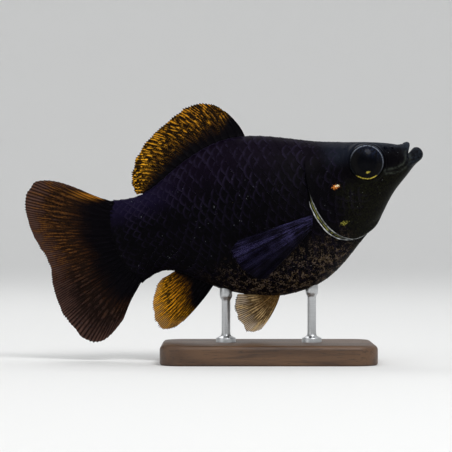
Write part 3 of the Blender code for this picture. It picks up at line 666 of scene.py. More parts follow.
def on_body(column, half_row, height, on_head):
    """A flat place on the lattice, wrapped onto the fish at a height over its skin."""
    share = np.interp(column * SCALE_PITCH, flank_arc, shares)
    turn = turn_of(share, half_row)
    ring = ring_of(share, turn)
    out = normals_of(ring, turn)
    behind = ring - gill_ring(turn)
    dip = SHOULDER_DIP * gill_cover(turn) * smooth(1 - behind / FLAP_REACH)
    trunk = body_surface(ring, turn) + out * (height - dip)[:, None]
    rise = COVER_RISE * gill_cover(turn) * smooth(1 + behind / FLAP_REACH)
    side = side_signs(turn)
    head = body_surface(ring, turn) + out * rise[:, None]
    head[on_head] = face_relief((head * side)[on_head], (out * side)[on_head]) * side[on_head]
    return np.where(on_head[:, None], head + out * (height * HEAD_RELIEF)[:, None], trunk)


sheet = Sheet("black scales")
colour, fish = hide_colour(sheet)
along, over, shade = sheet.attribute("scale").parts()
circuli = sheet.math("SINE", along * 44 + over * over * 30) * 0.5 + 0.5
# painted sheen: violet along each scale's rear margin, in patches, stronger on the upper body
tip = sheet.rise(along + over * over, -0.75, -0.05)
patchy = sheet.noise(fish, 0.22) * 0.5 + sheet.noise(sheet.stretch(fish, (1.0, 1.0, 0.3)), 1.6, 3.0) * 0.5
sheen_on_top = 0.3 + 0.7 * sheet.rise(fish.parts()[2], -6, 14)
edge_sheen = tip * sheet.rise(patchy + shade * 0.12, 0.46, 0.66) * sheen_on_top
colour = sheet.mix(edge_sheen * 0.55, colour, SCALE_SHEEN)
grain = sheet.noise(fish, 5.0, 4.0)
sheet.surface(
    base_color=colour,
    roughness=0.38 + 0.2 * grain,
    normal=sheet.bump(circuli * 0.2 + grain * 0.8, SCALE_BUMP, 0.5),
    specular_ior_level=HIDE_SHINE,
)
scales, flat, roots = scale_lattice(
    "scales", LAST_COLUMN + HEAD_COLUMNS, 1 - HEAD_COLUMNS, ROWS_ROUND, sheet.material)
on_head = roots[:, 0] < 1
root_turn = turn_of(np.interp(roots[:, 0] * SCALE_PITCH, flank_arc, shares), roots[:, 1])
wrapped = on_body(flat[:, 0], flat[:, 1], flat[:, 2], on_head & (roots[:, 0] < 0.5))
root_place = on_body(roots[:, 0] - ROOT_AHEAD, roots[:, 1], 0 * flat[:, 2], on_head)
root_place[:, 1] = np.abs(root_place[:, 1])
aside = root_place - EYE_MIDDLE
from_eye = np.linalg.norm(aside - (aside @ EYE_AXIS)[:, None] * EYE_AXIS, axis=-1)
bare = (from_eye < BARE_ROUND_EYE) | (root_place[:, 0] < BARE_SNOUT) | (folded(root_turn) > BARE_BELOW)
bare |= (gill_cover(root_turn) > 0.03) & (roots[:, 0] > -0.9)
bare |= (root_place[:, 2] < LOW_FRONT_UP) & (root_place[:, 0] < LOW_FRONT_BACK)
bare &= on_head
# an even spread of numbers from 0 to 1, the same each run, one for each scale
chance = np.mod(np.sin(roots[:, 0] * 12.9898 + roots[:, 1] * 78.233) * 43758.5453, 1)
local = np.stack([flat[:, 0] - roots[:, 0], flat[:, 1] - roots[:, 1], chance], -1)
mesh = scales.data
mesh.vertices.foreach_set("co", placed(wrapped).astype(np.float32).ravel())
for label, values in (("fish", wrapped), ("scale", local)):
    layer = mesh.attributes.new(label, "FLOAT_VECTOR", "POINT")
    layer.data.foreach_set("vector", values.astype(np.float32).ravel())
# each scale's patch of the map lies at its root's place on the unrolled skin
patch = mesh.uv_layers.new(name="OFBake")
corner = np.empty(len(mesh.loops), int)
mesh.loops.foreach_get("vertex_index", corner)
map_wide = 1 - 2 * MAP_EDGE
root_u = map_wide * (roots[:, 0] + HEAD_COLUMNS) / (LAST_COLUMN + HEAD_COLUMNS)
root_v = map_wide * np.mod(roots[:, 1], 2 * ROWS_ROUND) / (2 * ROWS_ROUND)
spread = np.stack([MAP_EDGE + root_u + local[:, 0] * PATCH_LONG,
                   MAP_EDGE + root_v + local[:, 1] * PATCH_WIDE], -1)
patch.data.foreach_set("uv", spread[corner].astype(np.float32).ravel())
work = bmesh.new()
work.from_mesh(mesh)
work.verts.ensure_lookup_table()
bmesh.ops.delete(work, geom=[work.verts[i] for i in np.flatnonzero(bare)], context="VERTS")
work.to_mesh(mesh)
work.free()
mesh.attributes.remove(mesh.attributes["root"])
finished(scales, sheet, "skin")

# Eyes: a large glossy black eye on each side with a wide pupil, a dark iris and a thin pale ring round
# it. Each is one flattened ball that sits in the orbit's soft rim.
EYE_COLUMNS, EYE_ROWS, POLE_GAP = 72, 48, 0.02
CORNEA_RISE, CORNEA_WIDE = 0.25, 2.6
# radii in millimetres from the middle of the eye
PUPIL_EDGE = (2.35, 2.65)
RING_BAND, GOLD_BAND = (3.98, 4.10, 4.22, 4.34), (3.94, 4.06, 4.20, 4.32)
PUPIL_BLACK, IRIS_BLACK = (0.0008, 0.001, 0.002), (0.0026, 0.0026, 0.003)
IRIS_SHEEN, RING_SILVER = (0.007, 0.011, 0.026), (0.16, 0.18, 0.22)
GOLD_ARC_REFLECTION, GOLD_SPOT_REFLECTION = (0.90, 0.72, 0.10), (0.42, 0.34, 0.05)


def eye_ball(name, side, node, sheet):
    lean = np.linspace(POLE_GAP - math.pi / 2, math.pi / 2 - POLE_GAP, EYE_ROWS)
    angle = np.linspace(0, 2 * math.pi, EYE_COLUMNS, endpoint=False)
    radius = EYE_RADIUS * np.cos(lean)[:, None]
    across, upright = radius * np.cos(angle), radius * np.sin(angle)
    dome = EYE_DEPTH * np.sin(lean) + CORNEA_RISE * bell(radius[:, 0], CORNEA_WIDE) * (lean > 0)
    height = dome[:, None] + 0 * across - EYE_SUNK
    grid = EYE_MIDDLE + across[..., None] * EYE_ACROSS + upright[..., None] * EYE_UPRIGHT
    grid = (grid + height[..., None] * EYE_AXIS) * (1, side, 1)
    local = np.stack([across, upright, height], -1).reshape(-1, 3)
    faces = tube_faces(EYE_ROWS, EYE_COLUMNS)
    points = placed(grid.reshape(-1, 3))
    faces = [face[::-1] for face in faces] if side < 0 else faces
    piece = new_mesh(name, points, faces, {"eye": local}, smooth_angle=80)
    finished(piece, sheet, "eye", node)


sheet = Sheet("wet eye")
place = sheet.attribute("eye")
across, upright, _ = place.parts()
radius = (across * across + upright * upright) ** 0.5
fibres = sheet.noise(sheet.stretch(place, (1.0, 1.0, 0.2)), 2.4, 4.0)
iris = sheet.rise(radius, *PUPIL_EDGE)
slant = upright * 0.8 - across * 0.6
# painted sheen: a blue glaze over the upper part of the iris
sheen = sheet.rise(slant, 0.5, 3.6) * sheet.rise(fibres, 0.35, 0.65)
colour = sheet.mix(iris, PUPIL_BLACK, IRIS_BLACK)
colour = sheet.mix(sheen, colour, IRIS_SHEEN)
# the thin pale ring is the eye's own; it is painted brighter on its upper arc as a highlight
ring = sheet.between(radius, *RING_BAND) * (0.12 + 0.88 * sheet.rise(slant, -1.5, 3.2))
colour = sheet.mix(ring * sheet.rise(fibres, 0.25, 0.6), colour, RING_SILVER)
# painted reflections: a bright gold arc low on the ring and a gold spot below the pupil, the iris's gold
# flecks painted bright
gold = sheet.between(radius, *GOLD_BAND) * sheet.rise(upright - across * 0.3, -3.2, -3.8)
colour = sheet.mix(gold * sheet.rise(fibres, 0.35, 0.6), colour, GOLD_ARC_REFLECTION)
spot = ((across - 0.6) ** 2 * 0.35 + (upright + 2.5) ** 2) ** 0.5
spot = sheet.rise(spot + sheet.noise(place, 2.8) * 0.5, 0.62, 0.42)
colour = sheet.mix(spot, colour, GOLD_SPOT_REFLECTION)
sheet.surface(base_color=colour, roughness=0.35, specular_ior_level=0.02,
              coat_weight=0.22, coat_roughness=0.03, coat_ior=1.22)
eye_ball("eye_ball_left", 1, "eye_left", sheet)
eye_ball("eye_ball_right", -1, "eye_right", sheet)

# Gill membranes: a thin fold on each side that shows along the free edge of the gill cover, with an olive
# sliver between two silver-white painted highlights on its raised lines.
MEMBRANE_STEPS, MEMBRANE_SIDES = 220, 17
MEMBRANE_WIDE, MEMBRANE_THICK, MEMBRANE_TUCK = 1.3, 0.12, 0.22
MEMBRANE_FROM, MEMBRANE_TO = 70, 176
RING_SPACING = 5.1
SILL_DROP, EDGE_TUCK, END_TUCK = 0.30, 0.35, 0.6
# each raised fold's height, place across and half width
FOLDS = ((0.13, 0.16, 0.07), (0.20, 0.78, 0.10))
# the painted highlight lines and the sliver between them, as places across the fold
FIRST_LINE, SECOND_LINE = (0.06, 0.13, 0.20, 0.30), (0.66, 0.76, 0.86, 0.95)
SLIVER = (0.32, 0.42, 0.54, 0.64)
GILL_DARK, GILL_OLIVE, GILL_HIGHLIGHT = (0.005, 0.005, 0.006), (0.33, 0.34, 0.045), (0.82, 0.85, 0.84)


def recalculated(piece):
    """Turns all the faces of a closed piece outward."""
    work = bmesh.new()
    work.from_mesh(piece.data)
    bmesh.ops.recalc_face_normals(work, faces=work.faces)
    work.to_mesh(piece.data)
    work.free()


def gill_membrane(name, side, sheet):
    degrees = np.linspace(MEMBRANE_FROM, MEMBRANE_TO, MEMBRANE_STEPS)
    turn = np.radians(degrees)
    ends = smooth((degrees - MEMBRANE_FROM) / 22) * smooth((MEMBRANE_TO - degrees) / 8)
    gill = gill_ring(turn)
    wide = MEMBRANE_WIDE * (0.35 + 0.65 * ends) * (1 - 0.45 * smooth((degrees - 118) / 30))
    across = np.linspace(0, 1, MEMBRANE_SIDES)[:, None]
    ring = gill + (across * wide - MEMBRANE_TUCK) / RING_SPACING
    drop = smooth((across - 0.15) / 0.35)
    sill = COVER_RISE * gill_cover(turn) * (1 - drop) - SILL_DROP * drop
    folds = sum(high * bell(across - at, wide) for high, at, wide in FOLDS) - 0.02
    height = sill + folds * (0.3 + 0.7 * ends) + 0.03 * bell(across - 0.48, 0.10)
    height -= EDGE_TUCK * (smooth((0.06 - across) / 0.06) + smooth((across - 0.93) / 0.07))
    height -= END_TUCK * (1 - ends)
    turns = turn + 0 * ring
    out = normals_of(ring, turns)
    skin_points = body_surface(ring, turns)
    outer = skin_points + out * height[..., None]
    inner = skin_points + out * (height - MEMBRANE_THICK)[..., None]
    points = np.concatenate([outer, inner[::-1]]) * (1, side, 1)
    across = across + 0 * ring
    band = np.concatenate([across, across[::-1]])
    count = len(points)
    last = (count - 1) * MEMBRANE_STEPS
    faces = grid_faces(count, MEMBRANE_STEPS, closed=False)
    faces += [(last + j, last + j + 1, j + 1, j) for j in range(MEMBRANE_STEPS - 1)]
    faces += [[i * MEMBRANE_STEPS for i in range(count)]]
    faces += [[i * MEMBRANE_STEPS + MEMBRANE_STEPS - 1 for i in range(count)][::-1]]
    faces = [list(face)[::-1] for face in faces] if side > 0 else faces
    local = np.stack([band, np.concatenate([np.degrees(turns)] * 2) / 90,
                      np.concatenate([ends + 0 * ring] * 2)], -1).reshape(-1, 3)
    points = points.reshape(-1, 3)
    piece = new_mesh(name, placed(points), faces, {"band": local, "fish": points}, smooth_angle=70)
    recalculated(piece)
    finished(piece, sheet, "skin")


sheet = Sheet("gill membrane with painted highlights")
across, along, ends = sheet.attribute("band").parts()
fish = sheet.attribute("fish")
mottle = sheet.noise(fish, 1.3, 4.0)
broken = sheet.rise(sheet.noise(fish, 0.9, 5.0), 0.36, 0.66)
sliver = sheet.between(across, *SLIVER)
olive = sliver * sheet.rise(mottle, 0.36, 0.52) * sheet.rise(along, 1.55, 1.3)
colour = sheet.mix(olive, GILL_DARK, GILL_OLIVE)
# painted highlights: broken silver-white lines along the fold's two ridges, and over the sliver near its low
# end
lines = sheet.between(across, *FIRST_LINE) * (0.06 + 0.60 * broken)
lines = lines + sheet.between(across, *SECOND_LINE) * (0.20 + 0.70 * broken)
lines = lines + sliver * sheet.rise(along, 1.42, 1.7) * broken * 0.5
lines = lines * sheet.rise(ends, 0.1, 0.9)
colour = sheet.mix(sheet.math("MINIMUM", lines, 1.0), colour, GILL_HIGHLIGHT)
sheet.surface(base_color=colour, roughness=0.25 + 0.2 * mottle, normal=sheet.bump(mottle, 0.00006, 0.6))
gill_membrane("gill_membrane_left", 1, sheet)
gill_membrane("gill_membrane_right", -1, sheet)

# Fins: thin smoky webs on bony rays that fork twice on the way to the edge. Each is one closed sheet,
# ridged on both faces where a ray runs, rooted in the skin.
PER_RAY = 16
FORK_ONE, FORK_TWO = (0.12, 0.48), (0.50, 0.85)
APART_ONE, APART_TWO, RAY_WIDE = 0.25, 0.125, 0.15
EDGE_UNEVEN, PLEAT = 0.22, 0.10
ROOT_SUNK, PAIRED_SUNK, TAIL_SUNK = 0.35, 0.4, 0.9
FIN_BLACK, FIN_SHINE, FIN_BUMP = (0.0014, 0.001, 0.002), 0.03, 0.00005


def ray_ridge(q, share):
    """1 on a ray, 0 on the web between: each ray forks in two, and near the edge in four."""
    aside = q - np.round(q)
    first, second = (smooth((share - start) / (end - start)) for start, end in (FORK_ONE, FORK_TWO))
    one, two = APART_ONE * first, APART_TWO * second
    wide = RAY_WIDE * (1 - 0.42 * first) * (1 - 0.40 * second)
    ridges = [bell(aside - a * one - b * two, wide) for a in (-1, 1) for b in (-1, 1)]
    return np.max(ridges, axis=0)


def scatter(count, seed):
    return np.random.default_rng(seed).uniform(-1, 1, count)


def fin(name, node, slot, sheet, rays, roots, bends, outline, left, thickness, rows,
        side=1, wave=0.0, waves=1.5, phase=0.0, flesh=0.5, fringe=0.24, seed=1):
    """roots, bends and outline are functions of the place across, 0 to 1; the rest is in millimetres.
    thickness holds that of a ray at its root and tip, then that of the web."""
    columns = (rays - 1) * PER_RAY + 1
    places = np.linspace(0, 1, columns)
    q = places * (rays - 1)
    at_edge = ray_ridge(q, np.ones_like(q))
    start = roots(places)
    drawn = outline(places)
    end = np.stack([drawn[:, 0], left + 0 * places, drawn[:, 1]], -1)
    run = end - start
    length = np.linalg.norm(run, axis=1, keepdims=True)
    uneven = np.interp(q * 2, np.arange(2 * rays), scatter(2 * rays, seed))
    frayed = np.interp(q * 4, np.arange(4 * rays), scatter(4 * rays, seed + 1))
    end = end + run / length * (fringe * at_edge * (1 + frayed) + EDGE_UNEVEN * uneven)[:, None]
    middle = bends(start, end, places)
    share = (np.linspace(0, 1, rows + 1) ** 1.1)[:, None, None]
    sheet_points = start * (1 - share) ** 2 + middle * 2 * share * (1 - share) + end * share**2
    share = share[..., 0] + 0 * q
    across = places[None, :]
    sheet_points[..., 1] += wave * share**1.5 * np.sin(2 * math.pi * (waves * across + phase))
    sheet_points[..., 1] += PLEAT * smooth(share * 2) * np.sin(2 * math.pi * q[None, :] / 2 + 3 * share)
    out = np.cross(np.gradient(sheet_points, axis=0), np.gradient(sheet_points, axis=1))
    out /= np.linalg.norm(out, axis=-1, keepdims=True)
    ridge = ray_ridge(q[None, :], share)
    ray_root, ray_tip, web_root, web_tip = thickness
    ray = ray_root + (ray_tip - ray_root) * share
    web = web_root + (web_tip - web_root) * share
    half = (web + (ray - web) * ridge + flesh * np.exp(-(share / 0.07) ** 2)) / 2
    near, far = sheet_points + out * half[..., None], sheet_points - out * half[..., None]
    points = np.concatenate([near.reshape(-1, 3), far.reshape(-1, 3)]) * (1, side, 1)
    behind = (rows + 1) * columns
    faces = grid_faces(rows + 1, columns, closed=False)
    faces += [face[::-1] for face in grid_faces(rows + 1, columns, closed=False, first=behind)]
    rim = [i * columns for i in range(rows + 1)] + [rows * columns + j for j in range(1, columns)]
    rim += [i * columns + columns - 1 for i in range(rows - 1, -1, -1)]
    rim += list(range(columns - 2, 0, -1))
    faces += [(b, a, behind + a, behind + b) for a, b in zip(rim, rim[1:] + rim[:1])]
    local = np.stack([share, q[None, :] + 0 * share, ridge], -1).reshape(-1, 3)
    stored = {"fin": np.concatenate([local, local]), "fish": points}
    piece = new_mesh(name, placed(points), faces, stored, smooth_angle=75)
    recalculated(piece)
    finished(piece, sheet, slot, node)


def fin_finish(name, dark, inner, outer, low_outer, black_to, dashed, veil, long=16, front_dark=0.01,
               fades=(90, 99), margin=None, lit_patch=None, across=4.3, patchy=0.4, falls=(8, -4),
               open_at=(0.46, 0.57), dusty=0.5):
    """A web that clears from black at the root to amber or grey at the edge, crossed by dark rays and
    broken into dashes along them. The colour turns from outer to low_outer down the fish."""
    sheet = Sheet(name)
    share, q, ridge = sheet.attribute("fin").parts()
    fish = sheet.attribute("fish")
    cloud = sheet.noise(fish, 0.35, 3.0)
    drift = cloud - 0.5
    fine = sheet.noise(fish, 3.0, 4.0)
    lay = sheet.value("ShaderNodeCombineXYZ", {}, {0: share * long * 0.45, 1: q * across, 2: 0.0})
    dashes = sheet.noise(lay, 1.0, 2.5)
    edge = sheet.mix(sheet.rise(fish.parts()[2] + cloud * 8, *falls), outer, low_outer)
    web = sheet.mix(sheet.rise(share + drift * patchy, 0.25, 0.85), inner, edge)
    gaps = sheet.rise(dashes * 0.7 + cloud * 0.3 + (fine - 0.5) * 0.2, *open_at) * dashed
    dust = sheet.rise(sheet.noise(fish, 2.2, 3.0), 0.50, 0.62) * dashed * dusty
    web = sheet.mix(sheet.math("MAXIMUM", gaps, dust), web, dark)
    if margin:
        pale = sheet.rise(share + (dashes - 0.5) * 0.6 + drift * 0.5, 0.72, 1.08)
        web = sheet.mix(pale * 0.8, web, margin)
    front = sheet.rise(q, front_dark, 0.0) * 0.45
    root = sheet.rise(share - front + drift * 0.35 + (dashes - 0.5) * 0.3, black_to[1], black_to[0])
    on_ray = sheet.rise(ridge, 0.10, 0.60) * 0.9
    colour = sheet.mix(on_ray, web, dark)
    root = sheet.math("MAXIMUM", root, sheet.rise(q + drift * 3, *fades) * 0.9)
    # painted light: a bright amber patch on the upper rays, where light shines through the web
    if lit_patch:
        lit = sheet.rise(q + drift * 2, 3.0, 0.3) * sheet.between(share, 0.16, 0.42, 0.50, 0.80)
        colour = sheet.mix(lit * (1 - on_ray), colour, lit_patch)
        root = root * (1 - lit)
    colour = sheet.mix(root, colour, FIN_BLACK)
    joints = sheet.rise(sheet.math("SINE", share * long * 9), 0.2, 0.9)
    colour = sheet.mix(sheet.rise(ridge, 0.6, 0.95) * joints * (1 - root) * 0.18, colour, edge)
    strands = sheet.math("SINE", q * 80) * 0.5 + 0.5
    height = strands * 0.4 + joints * ridge * 0.4 + fine * 0.4
    clear = (1 - sheet.rise(ridge, 0.2, 0.6)) * (1 - root) * (1 - gaps * 0.8) * sheet.rise(share, 0.1, 0.6)
    sheet.surface(base_color=colour, roughness=0.42 + 0.2 * fine, alpha=1 - clear * veil,
                  normal=sheet.bump(height, FIN_BUMP, 0.6), specular_ior_level=FIN_SHINE)
    return sheet


def median_roots(turn, front, rear):
    """Roots along the ridge of the back or the keel of the belly, as a function of the place across."""
    rings = np.linspace(8, LAST_RING, 400)
    line = body_surface(rings, np.full_like(rings, turn))

    def at(places):
        ring = np.interp(front + (rear - front) * places, line[:, 0], rings)
        turns = np.full_like(ring, turn)
        return (body_surface(ring, turns) - ROOT_SUNK * normals_of(ring, turns)) * (1, 0, 1)

    return at


def bowed(bow):
    """Rays that arch by a share of their length."""
    def bends(start, end, places):
        run = end - start
        return (start + end) / 2 + bow * np.stack([-run[:, 2], 0 * run[:, 1], run[:, 0]], -1)

    return bends


DORSAL_EDGE = spline(
    [0, 0.10, 0.21, 0.33, 0.47, 0.585, 0.70, 0.82, 0.92, 1],
    [(44.2, 24.0), (46.8, 27.0), (51.4, 28.4), (56.4, 27.3), (61.8, 24.9), (65.8, 22.8), (69.4, 19.6),
     (71.5, 15.8), (72.2, 13.2), (71.8, 11.0)],
)
# painted light: the dorsal web's own amber-brown is painted bright, most of all on its low rear part, as
# light shining through it
amber = fin_finish("amber web", (0.004, 0.002, 0.001), (0.13, 0.050, 0.003), (0.60, 0.25, 0.012),
                   (1.0, 0.47, 0.022), (0.12, 0.58), 0.99, 0.04, front_dark=3.0, patchy=1.4,
                   falls=(32, 19), open_at=(0.425, 0.51), dusty=0.35)
deep_amber = fin_finish("deep amber web", (0.006, 0.003, 0.001), (0.44, 0.17, 0.004), (0.85, 0.38, 0.012),
                        (0.62, 0.32, 0.075), (0.05, 0.50), 0.95, 0.06, front_dark=5.5,
                        margin=(0.62, 0.34, 0.11), patchy=0.8, falls=(-17, -23))
fin("dorsal_web", "dorsal_fin", "fin", amber, 16, median_roots(0, 41.3, 69.8), bowed(0.17), DORSAL_EDGE,
    0.8, (0.85, 0.34, 0.35, 0.16), 72, wave=0.5, waves=2.0, seed=3)
ANAL_EDGE = spline(
    [0, 0.15, 0.30, 0.45, 0.60, 0.75, 0.88, 1],
    [(69.5, -22.9), (73.2, -24.0), (75.8, -23.3), (76.5, -20.8), (76.2, -17.8), (75.0, -14.8),
     (73.5, -12.6), (71.8, -11.2)],
)
fin("anal_web", "anal_fin", "fin", deep_amber, 11, median_roots(math.pi, 60.0, 67.9), bowed(-0.06),
    ANAL_EDGE, 0.4, (0.85, 0.34, 0.35, 0.16), 64, wave=0.35, waves=1.2, fringe=0.34, seed=5)
CAUDAL_EDGE = spline(
    [0, 0.05, 0.11, 0.18, 0.28, 0.38, 0.50, 0.62, 0.72, 0.82, 0.89, 0.95, 1],
    [(84.8, 15.9), (90.0, 19.8), (95.8, 21.7), (99.6, 18.2), (100.7, 12.6), (100.0, 7.5), (98.7, 1.4),
     (99.2, -4.6), (99.5, -10.0), (98.0, -15.6), (94.6, -21.2), (89.4, -21.4), (84.4, -18.2)],
)


# the bare share of the tail's root at its top and foot
TAIL_MARGIN = 0.025


def tail_roots(places):
    turns = np.linspace(0, math.pi, 400)
    line = body_surface(np.full_like(turns, LAST_RING), turns) * (1, 0, 1)
    arc = arc_along(line)
    spot = (TAIL_MARGIN + (1 - 2 * TAIL_MARGIN) * places) * arc[-1]
    return np.stack([np.interp(spot, arc, line[:, k]) for k in range(3)], -1) - (TAIL_SUNK, 0, 0)


def tail_bends(start, end, places):
    return (start + end) / 2 - np.stack([0 * places, 0 * places, np.cos(places * math.pi)], -1)


smoky = fin_finish("smoky tail web", (0.006, 0.003, 0.002), (0.046, 0.016, 0.004), (0.150, 0.056, 0.011),
                   (0.034, 0.014, 0.011), (0.25, 0.60), 0.90, 0.08, long=18,
                   margin=(0.105, 0.054, 0.042), lit_patch=(0.42, 0.165, 0.016), across=2.6, patchy=1.2,
                   open_at=(0.43, 0.53), dusty=0.6)
fin("tail_web", "caudal_fin", "fin", smoky, 23, tail_roots, tail_bends, CAUDAL_EDGE, 1.2,
    (1.1, 0.34, 0.55, 0.16), 84, wave=0.8, phase=0.1, flesh=0.9, seed=7)
PECTORAL_ROOT = spline([0, 0.5, 1], [(31.7, -6.9), (32.2, -8.7), (32.8, -10.4)])
PECTORAL_EDGE = spline(
    [0, 0.14, 0.30, 0.50, 0.70, 0.86, 1],
    [(50.2, -7.5), (52.3, -8.9), (52.6, -11.2), (52.0, -13.7), (50.6, -15.9), (48.9, -17.8), (46.6, -18.4)],
)


def paired_roots(curve, view, guess):
    """Roots and outward ways along a curve on the left flank, worked out at nine places."""
    knots = np.linspace(0, 1, 9)
    spots = np.array([meet(view, curve(t), guess) for t in knots])
    surface, out = body_surface(*spots.T), normals_of(*spots.T)
    return spline(knots, surface - PAIRED_SUNK * out), spline(knots, out)


pectoral_roots, pectoral_out = paired_roots(PECTORAL_ROOT, seen_from_side, (14.0, math.radians(100)))
violet = fin_finish("violet web", (0.0022, 0.0016, 0.004), (0.070, 0.061, 0.175), (0.060, 0.052, 0.155),
                    (0.060, 0.052, 0.155), (-0.2, 0.0), 0.95, 0.22, long=4, fades=(3, 10), across=2.2,
                    open_at=(0.43, 0.54))


def pectoral_bends(start, end, places):
    return start + pectoral_out(places) * 2.6


PELVIC_EDGE = spline(
    [0, 0.2, 0.4, 0.6, 0.8, 1],
    [(51.4, -30.5), (54.2, -30.6), (55.5, -29.0), (56.1, -26.4), (56.0, -23.4), (54.7, -20.7)],
)


def seen_from_below(point):
    return point[[0, 1]]


PELVIC_ROOT = spline([0, 0.5, 1], [(44.4, 1.8), (45.8, 1.8), (47.2, 1.8)])
pelvic_roots, pelvic_out = paired_roots(PELVIC_ROOT, seen_from_below, (15.5, math.radians(170)))
tan = fin_finish("tan web", (0.060, 0.030, 0.010), (0.32, 0.18, 0.055), (0.84, 0.60, 0.28),
                 (0.88, 0.63, 0.31), (-0.1, 0.12), 0.85, 0.08, long=6, across=2.4,
                 margin=(0.95, 0.78, 0.60), open_at=(0.42, 0.54))


def pelvic_bends(start, end, places):
    fall = 2.1 * (1 - 0.8 * places[:, None] ** 2)
    return start + pelvic_out(places) * fall + (end - start) * (0.3, 0, 0.3)


for label, side in (("left", 1), ("right", -1)):
    fin(f"pectoral_web_{label}", f"pectoral_fin_{label}", "paired_fin", violet, 13, pectoral_roots,
        pectoral_bends, PECTORAL_EDGE, 13.4, (0.6, 0.30, 0.30, 0.14), 64, side=side, wave=0.35, flesh=0.9,
        fringe=0.4, seed=9)
    fin(f"pelvic_web_{label}", f"pelvic_fin_{label}", "paired_fin", tan, 8, pelvic_roots, pelvic_bends,
        PELVIC_EDGE, 3.3, (0.6, 0.30, 0.32, 0.14), 52, side=side, wave=0.25, fringe=0.34, seed=11)

# Display stand: an oiled walnut block with eased edges and two turned steel rods, each with a foot ring
# let into the wood and a small saddle that the belly rests on.
CORNER_RADIUS, CORNER_STEPS = 0.006, 16
TOP_EASE, FOOT_EASE, EASE_STEPS = 0.0012, 0.0004, 7
WALNUT_DARK, WALNUT_LIGHT = (0.050, 0.023, 0.010), (0.135, 0.069, 0.032)
WALNUT_STREAK, WALNUT_PORE = (0.024, 0.011, 0.006), (0.012, 0.006, 0.003)
low, high = np.array(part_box("stand_base"))
middle, half = (low + high) / 2, (high - low) / 2
profile = [(FOOT_EASE, low[2]), (0.0, low[2] + FOOT_EASE)]
for lean in np.linspace(0, math.pi / 2, EASE_STEPS):
    profile.append((TOP_EASE * (1 - math.cos(lean)), high[2] - TOP_EASE * (1 - math.sin(lean))))
rings = []
for inset, z in profile:
    angle = np.linspace(0, math.pi / 2, CORNER_STEPS)[None, :] + np.arange(4)[:, None] * math.pi / 2
    way_x, way_y = np.array([[1], [-1], [-1], [1]]), np.array([[1], [1], [-1], [-1]])
    x = middle[0] + way_x * (half[0] - CORNER_RADIUS) + (CORNER_RADIUS - inset) * np.cos(angle)
    y = middle[1] + way_y * (half[1] - CORNER_RADIUS) + (CORNER_RADIUS - inset) * np.sin(angle)
    rings.append(np.stack([x.ravel(), y.ravel(), np.full(x.size, z)], -1))
base_block = new_mesh("base_block", np.concatenate(rings), tube_faces(len(rings), len(rings[0])),
                      smooth_angle=35)
wood = Sheet("oiled walnut")
place = wood.value("ShaderNodeTexCoord", {}, {}, "Object")
figure = wood.noise(wood.stretch(place, (14.0, 120.0, 90.0)), 1.0, 2.0)
streaks = wood.noise(wood.stretch(place, (60.0, 900.0, 900.0)), 1.6, 6.0)
bands = wood.math("SINE", figure * 38) * 0.5 + 0.5
pores = wood.rise(wood.noise(wood.stretch(place, (330.0, 4200.0, 4200.0)), 1.0, 2.0), 0.60, 0.70)
colour = wood.mix(bands * 0.55 + streaks * 0.45, WALNUT_DARK, WALNUT_LIGHT)
colour = wood.mix(wood.rise(streaks, 0.52, 0.72) * 0.65, colour, WALNUT_STREAK)
colour = wood.mix(pores * 0.6, colour, WALNUT_PORE)
wood.surface(base_color=colour, roughness=0.38 + 0.18 * streaks,
             normal=wood.bump(streaks * 0.5 - pores * 0.6, 0.00008, 0.5))
finished(base_block, wood, "stand_wood", "stand_base")
ROD_SIDES = 64
# rings of a rod, as shares of its foot's radius and metres over its foot or over the saddle's top
FOOT_RINGS = ((0.92, -0.0005), (1.0, -0.0005), (1.0, 0.0006), (0.96, 0.0008), (0.80, 0.0010),
              (0.55, 0.0013), (0.46, 0.0017), (0.44, 0.0024))
SADDLE_RINGS = ((0.44, -0.0034), (0.47, -0.0030), (0.60, -0.0024), (0.64, -0.0020), (0.64, -0.0003),
                (0.60, 0.0))
SADDLE_RISE = 0.0002
STEEL_DULL, STEEL_BRIGHT = (0.42, 0.43, 0.44), (0.62, 0.63, 0.64)


def turned(profile, sides, middle=(0.0, 0.0)):
    """Points of level rings round an upright axis, one ring for each reach and height."""
    angle = np.linspace(0, 2 * math.pi, sides, endpoint=False)
    across, over = np.cos(angle), np.sin(angle)
    return np.concatenate([
        np.stack([middle[0] + reach * across, middle[1] + reach * over, np.full(sides, z)], -1)
        for reach, z in profile])


steel = Sheet("brushed steel")
place = steel.value("ShaderNodeTexCoord", {}, {}, "Object")
brushed = steel.noise(steel.stretch(place, (300.0, 300.0, 9000.0)), 1.0, 3.0)
steel.surface(base_color=steel.mix(brushed, STEEL_DULL, STEEL_BRIGHT), metallic=1.0,
              roughness=0.24 + 0.16 * brushed, normal=steel.bump(brushed, 0.00002, 0.3))
for name, node in (("rod_front", "stand_rod_front"), ("rod_rear", "stand_rod_rear")):
    low, high = np.array(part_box(node))
    reach, top = (high[0] - low[0]) / 2, high[2] + SADDLE_RISE
    profile = [(wide * reach, low[2] + rise) for wide, rise in FOOT_RINGS]
    profile += [(wide * reach, top + rise) for wide, rise in SADDLE_RINGS]
    points = turned(profile, ROD_SIDES, (low + high) / 2)
    piece = new_mesh(name, points, tube_faces(len(profile), ROD_SIDES), smooth_angle=35)
    finished(piece, steel, "stand_steel", node)

